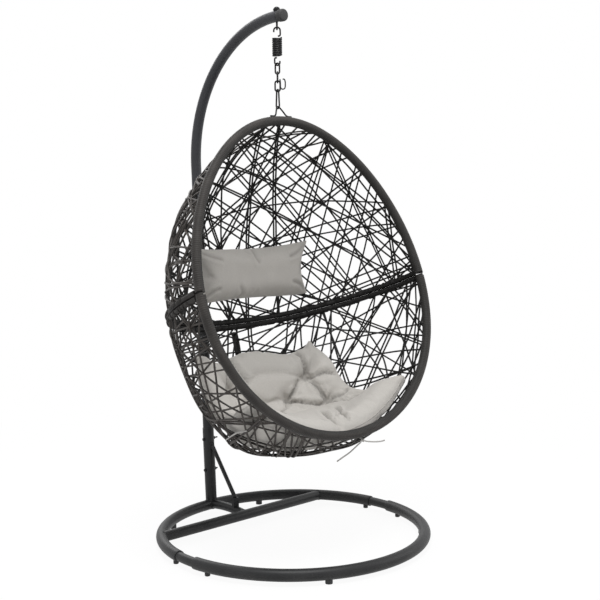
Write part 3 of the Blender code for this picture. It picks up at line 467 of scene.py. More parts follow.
def corners_of(item):
    """A mesh object's corners as an array."""
    co = np.zeros(len(item.data.vertices) * 3)
    item.data.vertices.foreach_get("co", co)
    return co.reshape(-1, 3)


def write_uv(item, name, flat):
    """A UV map from one flat place for each corner."""
    loops = np.zeros(len(item.data.loops), int)
    item.data.loops.foreach_get("vertex_index", loops)
    item.data.uv_layers.new(name=name).data.foreach_set("uv", flat[loops].ravel())


def nearby(points):
    """A tree that finds the nearest of some points."""
    tree = KDTree(len(points))
    for index, place in enumerate(points):
        tree.insert(place, index)
    tree.balance()
    return tree


# %% [markdown]
# A line is an array of points. To place things along it we need its length at each point, and to draw it
# smoothly we need more points than we choose. A cubic through the chosen points does that, because it
# passes through each of them.

# %% Helpers: lines
def smooth_line(points, per_span):
    """A smooth curve through given points."""
    nodes = np.asarray(points, float)
    made = []
    for i in range(len(nodes) - 1):
        before, after = nodes[max(i - 1, 0)], nodes[min(i + 2, len(nodes) - 1)]
        a, b = nodes[i], nodes[i + 1]
        leave, arrive = (b - before) / 2, (after - a) / 2
        for j in range(per_span):
            u = j / per_span
            part = a * (2 * u ** 3 - 3 * u ** 2 + 1) + leave * (u ** 3 - 2 * u ** 2 + u)
            made.append(part + b * (3 * u ** 2 - 2 * u ** 3) + arrive * (u ** 3 - u ** 2))
    return np.array(made + [nodes[-1]])


def distances(points):
    """How far along the line each of its points is."""
    steps = np.linalg.norm(np.diff(np.asarray(points, float), axis=0), axis=1)
    return np.concatenate([[0.0], np.cumsum(steps)])


def evenly(points, count):
    """The same line, as count points at equal steps along it."""
    points = np.asarray(points, float)
    lengths = distances(points)
    want = np.linspace(0, lengths[-1], count)
    return np.stack([np.interp(want, lengths, points[:, k]) for k in range(3)], axis=1)


def length_of(points):
    return float(distances(points)[-1])


def path_curve(name, lines, closed=False, radii=None):
    """A curve object with one straight-sided spline for each line of points."""
    bpy.ops.curve.primitive_nurbs_path_add()
    item = bpy.context.object
    item.name = name
    curve = item.data
    curve.dimensions = "3D"
    curve.splines.clear()
    for k, line in enumerate(lines):
        line = np.asarray(line, float)
        spline = curve.splines.new("POLY")
        spline.points.add(len(line) - 1)
        spline.points.foreach_set("co", np.hstack([line, np.ones((len(line), 1))]).ravel())
        if radii is not None:
            spline.points.foreach_set("radius", radii[k])
        spline.use_cyclic_u = closed
    return item


# %% [markdown]
# A tube is the curve's round bevel turned into a mesh. A sawn tube's end has a small rounded edge, so the
# radius of the curve's last points is a little smaller. The UV map is written from the line itself, because
# the mesh is an unordered set of corners by then.

# %% Helpers: tubes
def tube(name, lines, radius, sides=12, closed=False, radii=None, grain=False):
    """Round tubes or wires along lines, as one mesh."""
    item = path_curve(name, lines, closed, radii)
    item.data.bevel_depth = radius
    item.data.bevel_resolution = (sides - 4) // 2
    item.data.use_fill_caps = not closed
    item.data.twist_mode = "MINIMUM"
    only(item)
    bpy.ops.object.convert(target="MESH")
    item = bpy.context.object
    item.name = name
    with editing(item):
        bpy.ops.mesh.remove_doubles(threshold=0.00002)
        bpy.ops.mesh.normals_make_consistent(inside=False)
    if grain:
        write_along(item, lines)
    bpy.ops.object.shade_smooth_by_angle(angle=radians(40))
    return item


GRAIN_SHIFT = 0.37          # each strand's grain starts this much further on
GRAIN_ROUND = 0.02          # the grain's width round a strand


def write_along(item, lines):
    """UV map "along": metres along the nearest line and the turn round it, and a shade for each line."""
    places = np.concatenate([np.asarray(line, float) for line in lines])
    lengths = np.concatenate([distances(line) + GRAIN_SHIFT * k for k, line in enumerate(lines)])
    number = np.concatenate([np.full(len(line), k) for k, line in enumerate(lines)])
    tree = nearby(places)
    corners = corners_of(item)
    near = np.array([tree.find(co)[1] for co in corners])
    side = corners - places[near]
    turn = np.arctan2(side[:, 0] + 0.6 * side[:, 1], side[:, 2]) / (2 * pi) * GRAIN_ROUND
    write_uv(item, "along", np.stack([lengths[near], turn], axis=1))
    shades = (np.sin(number[near] * 12.9898) * 43758.5453) % 1.0    # looks random, but is the same each run
    item.data.attributes.new("shade", "FLOAT", "POINT").data.foreach_set("value", shades)


def eased(line, radius, soft):
    """A line and its radii for a tube whose ends are rounded by soft."""
    line = np.asarray(line, float)
    lengths = distances(line)
    marks = [0.0, 0.12 * soft, 0.5 * soft, soft]
    shares = [1 - soft / radius, 1 - 0.55 * soft / radius, 1 - 0.13 * soft / radius, 1.0]
    inner = [d for d in lengths if 1.5 * soft < d < lengths[-1] - 1.5 * soft]
    want = marks + inner + [lengths[-1] - d for d in marks[::-1]]
    radii = shares + [1.0] * len(inner) + shares[::-1]
    return np.stack([np.interp(want, lengths, line[:, k]) for k in range(3)], axis=1), radii


def steel_tube(name, line, radius, sides=28, soft=0.0015):
    line, radii = eased(line, radius, soft)
    return tube(name, [line], radius, sides, radii=[radii])


print("helpers ready")

# %% [markdown]
# ## The cushion's ties
#
# The seat pad is tied to the egg with soft tapes, and their loose ends show outside the bowl: one on the
# left, and two that leave a knot under the rim. Such a tape is limp, so each end follows one gentle curve.
# The routes are those of the CAD source. The knot is a small overhand knot: a line that goes twice round
# while it weaves in and out.

# %% Ties
TIE_DIAMETER = 0.005
TIE_POINTS = 24
TIE_ROUTES = {
    "tie_left": (
        (-0.356, -0.192, 0.490),
        (-0.358, -0.168, 0.483),
        (-0.357, -0.144, 0.476),
        (-0.348, -0.103, 0.458),
        (-0.319, -0.037, 0.429),
    ),
    "tie_right_short": (
        (0.037, -0.362, 0.4185),
        (0.047, -0.372, 0.4160),
        (0.063, -0.387, 0.4150),
        (0.078, -0.401, 0.4165),
        (0.088, -0.410, 0.4200),
    ),
    "tie_right_long": (
        (0.024, -0.356, 0.4150),
        (0.011, -0.348, 0.4020),
        (-0.007, -0.332, 0.3800),
        (-0.027, -0.314, 0.3610),
        (-0.041, -0.302, 0.3480),
    ),
}
KNOT_PLACE = np.array((0.031, -0.358, 0.4200))
KNOT_ROUND = 0.0030


CLOTH_MIDDLE = (0.0, -0.08, 0.95)
CLOTH_REACH = 0.5           # usual distance from that middle to the cloth


def write_cloth(item):
    """UV map "cloth" in metres: angles seen from the egg's middle, times the distance to the bowl."""
    out = corners_of(item) - CLOTH_MIDDLE
    reach = np.linalg.norm(out, axis=1)
    angles = np.stack([np.arcsin(out[:, 0] / reach), np.arctan2(out[:, 1], -out[:, 2])], axis=1)
    write_uv(item, "cloth", angles * CLOTH_REACH)


turn = np.linspace(0, 2 * pi, 49)[:-1]
knot_line = KNOT_PLACE + KNOT_ROUND * np.stack([
    np.sin(turn) + 0.9 * np.sin(2 * turn),
    np.cos(turn) - 0.9 * np.cos(2 * turn),
    -0.8 * np.sin(3 * turn),
], axis=1)
knot = tube("tie_knot_tape", [knot_line], TIE_DIAMETER / 2, sides=10, closed=True)
write_cloth(knot)
finished(knot, "egg", TAPE_CLOTH, "tie_knot")

for name, route in TIE_ROUTES.items():
    line = evenly(smooth_line(route, 12), TIE_POINTS)
    tie = tube(name + "_tape", [line], TIE_DIAMETER / 2, sides=10)
    write_cloth(tie)
    finished(tie, "egg", TAPE_CLOTH, name)
    length_of(line)
    print(name, "is", round(length_of(line), 3), "m long")

# %% [markdown]
# ## The base ring and its bars
#
# The base is two bent tubes of different sizes, joined by inner necks, with a straight bar and a short stub
# across. A tube's centre line is an arc, so we compute the arc's points and let the curve's bevel make the
# tube. The ends get a small rounding, as a sawn and filed tube has, and each welded joint gets a bead.

# %% Base: sizes
RING_RADIUS = 0.486
RING_Y = -0.029
RING_Z = 0.0335
REAR_TUBE = 0.0205
FRONT_TUBE = 0.0215
NECK_TUBE = 0.0170
REAR_END = radians(7)
FRONT_END = radians(-4)
NECK_INSIDE = radians(8.3)
CROSSBAR_TUBE = 0.0194
CROSSBAR_Y = 0.247
STUB_TUBE = 0.017
STUB_ARCH = 0.008


def ring_arc(start, end, steps=90):
    angle = np.linspace(start, end, steps)
    return np.stack([
        RING_RADIUS * np.cos(angle),
        RING_Y + RING_RADIUS * np.sin(angle),
        np.full(steps, RING_Z),
    ], axis=1)


def joined(name, items):
    """Several objects as one piece."""
    bpy.ops.object.select_all(action="DESELECT")
    for item in items:
        item.select_set(True)
    bpy.context.view_layer.objects.active = items[0]
    bpy.ops.object.join()
    items[0].name = name
    return items[0]


BEAD_SIDES = 72
BEAD_SEARCH = np.linspace(0, 0.3, 301)[:, None]     # how far along the tube its end is looked for


def weld_bead(start, direction, radius, line, line_radius, size=0.0022):
    """A bead where a tube from start meets the tube round a line."""
    start, direction = np.array(start, float), np.array(direction, float)
    direction /= np.linalg.norm(direction)
    side = np.cross(direction, (1.0, 0.0, 0.0) if abs(direction[0]) < 0.9 else (0.0, 1.0, 0.0))
    side /= np.linalg.norm(side)
    other = np.cross(direction, side)
    line = evenly(line, 400)
    ring = []
    for angle in np.linspace(0, 2 * pi, BEAD_SIDES + 1)[:-1]:
        base = start + radius * (cos(angle) * side + sin(angle) * other)
        spots = base + direction * BEAD_SEARCH
        gaps = np.linalg.norm(line[None] - spots[:, None], axis=2).min(axis=1)
        inside = np.nonzero(gaps < line_radius)[0]
        ring.append(spots[inside[0] if len(inside) else np.argmin(gaps)])
    bumps = [1 + 0.16 * sin(i * 2.6) for i in range(len(ring))]
    return tube("bead", [ring], size, sides=8, closed=True, radii=[bumps])


def base_part(name, node, line, radius, *beads, coat=SHADED_BASE_COAT, **settings):
    """A tube of the stand, with its weld beads, for one CAD node."""
    item = steel_tube(name, line, radius, **settings)
    if beads:
        item = joined(name, [item, *beads])
    return finished(item, "stand", coat, node)


# %% [markdown]
# All the stand's tubes are made in the same way, so one helper makes a tube, adds its weld beads and names
# the CAD node it stands for. The dark knobs over the ring's joints are short round plugs of the same kind.

# %% Base: ring, necks, crossbar, stub and knobs
rear_line = ring_arc(REAR_END, pi - REAR_END)
front_line = ring_arc(FRONT_END, -pi - FRONT_END)
base_part("ring_rear_tube", "ring_rear", rear_line, REAR_TUBE)
base_part("ring_front_tube", "ring_front", front_line, FRONT_TUBE)
right_neck = ring_arc(REAR_END + NECK_INSIDE, FRONT_END - NECK_INSIDE, 14)
base_part("ring_neck_right", "ring_sleeve_right", right_neck, NECK_TUBE)
base_part("ring_neck_left", "ring_sleeve_left", right_neck * (-1, 1, 1), NECK_TUBE)

half_bar = np.sqrt(RING_RADIUS ** 2 - (CROSSBAR_Y - RING_Y) ** 2)
bar_line = np.array([(-half_bar, CROSSBAR_Y, RING_Z), (half_bar, CROSSBAR_Y, RING_Z)])
whole_ring = ring_arc(0, 2 * pi, 400)
bar_beads = []
for way in (-1, 1):
    start = (way * 0.25, CROSSBAR_Y, RING_Z)
    bar_beads.append(weld_bead(start, (way, 0, 0), CROSSBAR_TUBE, whole_ring, REAR_TUBE))
base_part("crossbar_tube", "crossbar", bar_line, CROSSBAR_TUBE, *bar_beads)

share = np.linspace(0, 1, 25)
stub_line = np.stack([
    0 * share,
    RING_Y + RING_RADIUS + share * (CROSSBAR_Y - RING_Y - RING_RADIUS),
    RING_Z + STUB_ARCH * np.sin(pi * share),
], axis=1)
base_part(
    "post_stub_tube", "post_stub", stub_line, STUB_TUBE,
    weld_bead((0, 0.35, RING_Z), (0, -1, 0), STUB_TUBE, bar_line, CROSSBAR_TUBE),
    weld_bead((0, 0.36, RING_Z), (0, 1, 0), STUB_TUBE, whole_ring, REAR_TUBE),
)

KNOB_RADIUS = 0.0095
KNOB_LOW = 0.0012           # just off the floor
KNOB_SUNK = 0.002           # how far the knob reaches into its tube
KNOB_ANGLES = {"front": (radians(-10.7), FRONT_TUBE), "rear": (radians(10), REAR_TUBE)}
for way, side in (("right", 1), ("left", -1)):
    for end, (angle, outer) in KNOB_ANGLES.items():
        x, y = side * RING_RADIUS * cos(angle), RING_Y + RING_RADIUS * sin(angle)
        line = evenly([(x, y, KNOB_LOW), (x, y, RING_Z - outer + KNOB_SUNK)], 4)
        knob, bolt = f"knob_{way}_{end}", f"ring_bolt_{way}_{end}"
        base_part(knob, bolt, line, KNOB_RADIUS, coat=RUBBER, sides=20, soft=0.0022)

print("base ring:", round(length_of(rear_line) + length_of(front_line), 2), "m of tube")

# %% [markdown]
# ## The post and the bent arm
#
# A socket on the ring holds the leaning post, and a second tube on top of it bends forward over the chair in
# one wide quarter turn. The thin brace is welded to the socket. All follow the same lean.

# %% Post and arm
LEAN = radians(2.45)
POST_FOOT_Y = 0.4568
POST_FOOT_Z = 0.080         # the lower tube's end inside the socket
POST_TUBE = 0.020
SOCKET_TUBE = 0.0223
SOCKET_TOP = 0.345
ARM_JOINT = 1.135
BEND_START = 1.392
BEND_RADIUS = 0.500
BEND_END = radians(89.85)
CAP_TUBE = 0.0222
CAP_LENGTH = 0.029
BRACE_TUBE = 0.008
BRACE_TOP = np.array((0, 0.4455, 0.2745))
BRACE_LOW = np.array((0, 0.3085, 0.0900))


def post_point(z):
    return np.array((0.0, POST_FOOT_Y + z * tan(LEAN), z))


bend_middle = post_point(BEND_START) + BEND_RADIUS * np.array((0, -cos(LEAN), sin(LEAN)))


def bend_point(angle):
    return bend_middle + BEND_RADIUS * np.array((0, cos(angle), sin(angle)))


post_ends = np.array([post_point(RING_Z), post_point(SOCKET_TOP)])
post_way = post_ends[1] - post_ends[0]
base_part(
    "post_socket_tube", "post_socket", evenly(post_ends, 8), SOCKET_TUBE,
    weld_bead(post_point(0.12), -post_way, SOCKET_TUBE, whole_ring, REAR_TUBE, 0.0026),
    weld_bead((BRACE_LOW + BRACE_TOP) / 2, BRACE_TOP - BRACE_LOW, BRACE_TUBE, post_ends, SOCKET_TUBE),
)
lower_line = evenly([post_point(POST_FOOT_Z), post_point(ARM_JOINT - 0.0001)], 12)
base_part("post_lower_tube", "arm_lower", lower_line, POST_TUBE)
upper_line = [post_point(z) for z in (ARM_JOINT + 0.0003, 1.25, BEND_START - 0.01)]
upper_line += [bend_point(angle) for angle in np.linspace(-LEAN, BEND_END, 60)]
base_part("arm_tube", "arm_upper", np.array(upper_line), POST_TUBE, coat=POST_COAT, soft=0.0008)

ahead = np.array((0, -sin(BEND_END), cos(BEND_END)))
tip = bend_point(BEND_END)
cap_line = evenly([tip + ahead * 0.0009, tip + ahead * CAP_LENGTH], 8)
base_part("arm_cap", "arm_end_cap", cap_line, CAP_TUBE, coat=RUBBER, soft=0.006)

brace_line = evenly([BRACE_LOW, BRACE_TOP], 6)
base_part("brace_rod", "post_brace", brace_line, BRACE_TUBE, sides=20, soft=0.001)
print("arm reaches forward to y =", round(float(tip[1]), 3), "at height", round(float(tip[2]), 3))

# %% [markdown]
# ## Eye bolt, spring and chain
#
# The egg hangs from an eye under the arm: a coil spring with a hook at each end, three links, and a
# pear-shaped ring. Each is bent wire, so each is a round tube along its own curve. The coil is a
# separate piece.

# %% Hardware: sizes
TURN = radians(-43)         # the hooks' plane, from +X
WIRE = 0.003                # radii of the wires
COIL_WIRE = 0.0032
SPARE_WIRE = 0.0024
CLEAR = 0.0003
SHANK = 0.004
SHANK_TOP = 0.0285          # over the arm's middle
HOOK_BENDS = (0.0115, 0.0104)
LINK_LENGTH = 0.038
LINK_BEND = 0.009
PEAR_LENGTH = 0.068
PEAR_BENDS = (0.0079, 0.0122)
EYE_RADIUS = 0.0115
EYE_WIRE = 0.0035
EYE_Z = 1.8785
COIL_TOP = 1.840
COIL_BOTTOM = 1.7695
COIL_RADIUS = 0.0152
COIL_PITCH = 0.0066
LOWER_HOOK_Z = 1.7397
SEAT_STEP = 2 * WIRE + CLEAR
SLANT_STEP = SEAT_STEP + 0.0009


def plumb(turn, out, z, across=0.0):
    """A point beside the plumb line: out along a plane turned from +X, and across that plane."""
    return np.array((
        out * cos(turn) - across * sin(turn),
        HOOK_Y + out * sin(turn) + across * cos(turn),
        z,
    ))


def wire(name, node, body, line, radius=WIRE, sides=14, closed=False):
    """A bent wire of black steel."""
    return finished(tube(name, [line], radius, sides, closed=closed), body, BLACK_STEEL, node)


def loop(turn, top, length, upper, lower, steps=48):
    """A long ring's centre line: two half circles joined by straight sides."""
    points = []
    for i in range(steps):
        angle = 2 * pi * (i + 0.5) / steps
        high = sin(angle) > 0
        radius, centre = (upper, top - upper) if high else (lower, top - length + lower)
        points.append(plumb(turn, radius * cos(angle), centre + radius * sin(angle)))
    return points


def hook_line(turn, start, middle, radius, up):
    """A wire that leaves the coil's end and bends round into an open hook."""
    low = [
        plumb(turn, up * radius * 0.25, start),
        plumb(turn, up * radius * 0.75, start + up * 2 * CLEAR),
        plumb(turn, up * radius, start + up * 0.005),
        plumb(turn, up * radius, middle),
    ]
    line = list(smooth_line(low, 6))[:-1]
    for angle in np.linspace(0, pi, 25):
        line.append(plumb(turn, up * radius * cos(angle), middle + up * radius * sin(angle)))
    line.append(plumb(turn, -up * radius, middle - up * 0.0055))
    return np.array(line)


# %% [markdown]
# The eye bolt goes up through the arm's tip. A cap nut is a hexagon with a dome on a washer. They are three
# simple solids, and the Bevel modifier rounds the hexagon's edges so that they catch the light.

# %% Eye bolt and cap nut
eye_angles = np.linspace(0, 2 * pi, 49)[:-1]
eye_ring = [plumb(TURN, 0, EYE_Z + EYE_RADIUS * sin(t), EYE_RADIUS * cos(t)) for t in eye_angles]
arm_z = bend_middle[2] + BEND_RADIUS
shank = [(0, HOOK_Y, EYE_Z + EYE_RADIUS - 0.001), (0, HOOK_Y, arm_z + SHANK_TOP)]
eye_parts = [
    tube("eye", [eye_ring], EYE_WIRE, 16, closed=True),
    tube("shank", [evenly(shank, 6)], SHANK, 16),
]
finished(joined("eye_bolt_eye", eye_parts), "stand", BLACK_STEEL, "eye_bolt")

nut_seat = arm_z + POST_TUBE + 3 * CLEAR


def over_seat(height):
    return {"location": (0, HOOK_Y, nut_seat + height)}


bpy.ops.mesh.primitive_cylinder_add(vertices=32, radius=0.0140, depth=0.0025, **over_seat(0.0005))
washer = bpy.context.object
bpy.ops.mesh.primitive_cylinder_add(vertices=6, radius=0.0128, depth=0.006, **over_seat(0.003))
nut = bpy.context.object
edges = nut.modifiers.new("edges", "BEVEL")
edges.width = 0.0006
edges.segments = 2
apply_all(nut)
bpy.ops.mesh.primitive_uv_sphere_add(segments=24, ring_count=16, radius=0.0108, **over_seat(0.0055))
dome = bpy.context.object
dome.scale = (1.0, 1.0, 0.66)
bpy.ops.object.shade_smooth()
finished(joined("eye_cap_nut", [nut, washer, dome]), "stand", BLACK_STEEL, "eye_bolt_nut")

# %% [markdown]
# The coil is a helix. Both hooks, the links, the ring and the bracket are the same wire along other lines.
# The coil alone isn't rigid; here it is made in its place and given to no body.

# %% Spring, chain and bracket
turns = (COIL_TOP - COIL_BOTTOM - 2 * WIRE) / COIL_PITCH
share = np.linspace(0, 1, 260)
coil_line = [
    plumb(TURN + 2 * pi * turns * u, COIL_RADIUS, COIL_TOP - WIRE - COIL_PITCH * turns * u) for u in share
]
coil = tube("coil_wire", [coil_line], COIL_WIRE, 12)
coil.data.materials.append(BLACK_STEEL)
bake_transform(coil)
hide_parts("spring_coil")

hang = EYE_Z - EYE_RADIUS + EYE_WIRE + WIRE + 2 * CLEAR
upper_bend, lower_bend = HOOK_BENDS
upper_hook = hook_line(TURN, COIL_TOP + WIRE + CLEAR, hang - upper_bend, upper_bend, 1)
wire("upper_hook_wire", "spring_hook_upper", "upper_hook", upper_hook)
low_turn = TURN + radians(28)
lower_hook = hook_line(low_turn, COIL_BOTTOM - WIRE - CLEAR, LOWER_HOOK_Z + lower_bend, lower_bend, -1)
wire("lower_hook_wire", "spring_hook_lower", "lower_hook", lower_hook)

first = LOWER_HOOK_Z + SLANT_STEP
tops = (first, first - LINK_LENGTH + SLANT_STEP, first - 2 * LINK_LENGTH + SLANT_STEP + SEAT_STEP)
for number, (turn, place) in enumerate(zip((TURN - radians(32), TURN + radians(88), TURN), tops), 1):
    link = loop(turn, place, LINK_LENGTH, LINK_BEND, LINK_BEND)
    wire(f"link_{number}_wire", f"chain_link_{number}", "chain", link, closed=True)
ring_top = tops[-1] - LINK_LENGTH + SLANT_STEP
pear = loop(TURN - radians(62), ring_top, PEAR_LENGTH, *PEAR_BENDS, 64)
wire("pear_ring_wire", "long_ring", "chain", pear, closed=True)

SPARE_ROUTE = (             # out, across and up from the third link's shoulder
    (0.0085, 0.0075, -0.012),
    (0.0088, 0.0068, 0.000),
    (0.0090, 0.0000, 0.0078),
    (0.0100, -0.0068, 0.000),
    (0.0105, -0.0075, -0.010),
    (0.0110, -0.0075, -0.021),
    (0.0160, -0.0075, -0.0265),
    (0.0240, -0.0075, -0.0255),
    (0.0275, -0.0075, -0.018),
    (0.0275, -0.0075, 0.000),
    (0.0240, -0.0075, 0.0085),
    (0.0185, -0.0075, 0.0080),
)
shoulder = tops[-1] - 0.0035
spare_line = smooth_line([plumb(TURN, out, shoulder + up, across) for out, across, up in SPARE_ROUTE], 5)
wire("spare_hook_wire", "spare_hook", "spare_hook", spare_line, SPARE_WIRE)

apex_z = ring_top - PEAR_LENGTH + SEAT_STEP + 3 * CLEAR
rim_up = np.array((0, sin(RIM_LEAN), cos(RIM_LEAN)))
foot = rim_point(radians(3.2)) + rim_up * (RIM_TUBE + WIRE + CLEAR)
middle = (foot + (0, HOOK_Y, apex_z)) / 2
right_half = [
    (0.005, HOOK_Y, apex_z - 0.002),
    (0.015, middle[1], middle[2] + 0.001),
    (0.028, foot[1], foot[2]),
    (0.050, foot[1], foot[2] - 0.002),
]
left_half = [(-x, y, z) for x, y, z in right_half[::-1]]
wire("bracket_rod", "hanger_bracket", "egg", smooth_line(left_half + right_half, 6))
print("the bracket hangs at height", round(apex_z, 4))

# %% [markdown]
# ## The bowl as a surface
#
# Strands lie on the bowl, so we need to ask "where is the bowl nearest to here, and which way does it face?"
# A fine net of the surface and Blender's BVH tree answer that quickly. The net itself isn't part of the
# chair.

# %% Bowl surface
NET_DOWN = 150
NET_ROUND = 190
net_t = np.linspace(0.004, pi - 0.004, NET_DOWN)[:, None]
net_f = np.linspace(0.0, pi, NET_ROUND)[None, :]
net = bowl_point(rim_width(net_t) * np.cos(net_f), RIM_HALF_HEIGHT * (np.cos(net_t) - 1) + 0 * net_f)
corner = np.arange(NET_DOWN * NET_ROUND).reshape(NET_DOWN, NET_ROUND)
quads = np.stack([corner[:-1, :-1], corner[1:, :-1], corner[1:, 1:], corner[:-1, 1:]], axis=-1).reshape(-1, 4)
bowl_tree = BVHTree.FromPolygons(net.reshape(-1, 3).tolist(), quads.tolist())
quad_points = net.reshape(-1, 3)[quads]
quad_middle = quad_points.mean(axis=1)
quad_area = 0.5 * np.linalg.norm(
    np.cross(quad_points[:, 2] - quad_points[:, 0], quad_points[:, 3] - quad_points[:, 1]), axis=1
)
rim_line = rim_point(np.linspace(0, 2 * pi, 721)[:-1])
rim_tree = nearby(rim_line)
BAND_BACK = bowl_point(0.0, BAND_S)
print("bowl area:", round(float(quad_area.sum()), 2), "m2")

# %% [markdown]
# ## The weave
#
# A weaver pulls each strand taut over a mould, from the rim or the band across to another edge, in any
# direction. Seen from in front of the opening such strands look nearly straight. So each strand here is the
# cut of a plane through the bowl, and the plane is turned partly towards someone standing before the chair.
# To spread the strands evenly, each new one is the best of several tries: the one that crosses the emptiest
# part. Some get a companion beside them, and a few fan out from one point of the band.

# %% Walking a strand
STRAND = 0.0034             # radius
STEP = 0.014
LONGEST = 150               # steps
LEAST_POINTS = 10           # a shorter strand isn't used
LOOK_IN = Vector((0.68, 0.73, -0.08)).normalized()
random = np.random.default_rng(20)


def above_band(place):
    return float(np.dot(place - BAND_BACK, BAND_NORMAL))


def walk(start, heading, plane, side):
    """Points from start, in a plane and on the surface, until the strand reaches the rim or the band."""
    start = Vector(start)
    place, heading = start, Vector(heading)
    line = [np.array(place)]
    for _ in range(LONGEST):
        ahead = place + heading * STEP
        for _ in range(3):
            ahead, _, _, _ = bowl_tree.find_nearest(ahead)
            ahead = ahead - plane * (ahead - start).dot(plane)
        step = ahead - place
        if step.length < 0.3 * STEP or step.dot(heading) < 0:
            break
        place, heading = ahead, step.normalized()
        line.append(np.array(place))
        if rim_tree.find(place)[2] < 0.5 * RIM_TUBE or above_band(np.array(place)) * side < BAR_OFFSET:
            break
    return line


def strand_through(spot, angle, side, turned, like=None):
    """A strand through a spot, at an angle to the level, or nearly along the way of another."""
    spot, normal, _, _ = bowl_tree.find_nearest(Vector(spot))
    across = normal.cross(Vector((0, 0, 1))).normalized()
    heading = across * cos(angle) + normal.cross(across) * sin(angle)
    if like is not None:
        heading = (like - normal * like.dot(normal)).normalized()
    if normal.dot(LOOK_IN) < 0:
        normal = -normal
    turned = turned * min(1.0, 0.15 + 1.2 * normal.dot(LOOK_IN))    # less where the bowl is seen edge-on
    facing = (normal * (1 - turned) + LOOK_IN * turned).normalized()
    plane = heading.cross(facing)
    if plane.length < 0.2:
        return np.zeros((0, 3))
    plane.normalize()
    heading = (heading - plane * heading.dot(plane)).normalized()
    ahead = walk(spot, heading, plane, side)
    behind = walk(spot, -heading, plane, side)
    return np.array(behind[::-1][:-1] + ahead)


class Crowd:
    """Where strands already lie, so that the next one can go where there are few."""

    def __init__(self, reach):
        self.reach = reach
        self.points = np.zeros((0, 3))

    def press(self, line):
        if not len(self.points):
            return 0.0
        gaps = ((line[::3, None] - self.points[None]) ** 2).sum(axis=2)
        return float((np.exp(-gaps / self.reach ** 2).sum(axis=1) ** 2).mean())

    def add(self, line):
        self.points = np.concatenate([self.points, line[::3]])


CROWD_REACH = 0.035
COMPANIONS = 0.38           # share of the strands that get one


def beside(line, offset):
    """A place next to the middle of a strand, and the strand's way there."""
    k = len(line) // 2
    _, normal, _, _ = bowl_tree.find_nearest(Vector(line[k]))
    way = Vector(line[k + 1] - line[k - 1])
    return line[k] + offset * np.array(way.cross(normal).normalized()), way


def weave(side, metres, tries, fan=()):
    """Strands for one bowl, until they come to so many metres."""
    height = (quad_middle - BAND_BACK) @ BAND_NORMAL * side
    chance = np.where(height > 0.02, quad_area, 0.0)
    chance = chance / chance.sum()
    crowd = Crowd(CROWD_REACH)
    lines = []
    for spot, angle in fan:
        line = strand_through(spot, angle, side, 0.5)
        lines.append(line)
        crowd.add(line)
    total = 0.0
    while total < metres:
        best = None
        for _ in range(tries):
            spot = quad_middle[random.choice(len(quad_middle), p=chance)]
            angle = random.uniform(0, pi)
            turned = random.uniform(0.60, 0.95)
            line = strand_through(spot, angle, side, turned)
            if len(line) < LEAST_POINTS:
                continue
            score = crowd.press(line)
            if best is None or score < best[0]:
                best = (score, line, angle, turned)
        if best is None:
            continue
        chosen = [best[1]]
        if random.random() < COMPANIONS:
            near, way = beside(best[1], random.choice((-1, 1)) * random.uniform(0.010, 0.018))
            chosen.append(strand_through(near, best[2] + random.normal(0, 0.04), side, best[3], way))
        for line in chosen:
            if len(line) < LEAST_POINTS:
                continue
            lines.append(line)
            crowd.add(line)
            total += length_of(line)
    return lines


LAYER = 0.0030
WAVE = 0.0020
FADE = 0.05                 # the lift fades out this far from a strand's ends


def layered(line):
    """Lift a strand a little off the surface, over some strands and under others."""
    lift = random.choice((-LAYER, 0.0, LAYER))
    phase, wave = random.uniform(0, 2 * pi), random.uniform(0.16, 0.30)
    run = distances(line)
    made = []
    for place, at in zip(line, run):
        _, normal, _, _ = bowl_tree.find_nearest(Vector(place))
        fade = min(1.0, at / FADE, (run[-1] - at) / FADE)
        made.append(place + np.array(normal) * fade * (lift + WAVE * sin(2 * pi * at / wave + phase)))
    return np.array(made)


# %% [markdown]
# The two bowls are woven apart, as the real egg's halves are. Each takes about eighty metres of strand. Six
# sides are enough for a strand, because there are hundreds of them and each is thin.

# %% Weaving both bowls
TRIES = 7
FAN_X = -0.02
fan_spot = bowl_point(FAN_X, BAND_S + 0.03)
fan = [(fan_spot + np.array((0.006 * k, 0, 0.0)), pi / 2 + 0.30 * k) for k in (-2, -1, 0, 1, 2)]
for half, side, metres, gathered in (("upper", 1, 78.0, fan), ("lower", -1, 84.0, ())):
    lines = [layered(line) for line in weave(side, metres, TRIES, gathered) if len(line) > 3]
    woven = tube("weave_" + half, lines, STRAND, sides=6, grain=True)
    finished(woven, "egg", WEAVE, "shell_" + half)
    print(half, "weave:", len(lines), "strands,", len(woven.data.polygons), "faces")

# %% [markdown]
# ## Tubes wound with strand
#
# The rim, the two bars of the band and the rib are steel tubes with a flat strand wound round them, turn
# against turn. We draw the strand's rounded outer face once as an arch, sweep it round with the Screw
# modifier, and bend the long straight result along the rim with the Curve modifier.

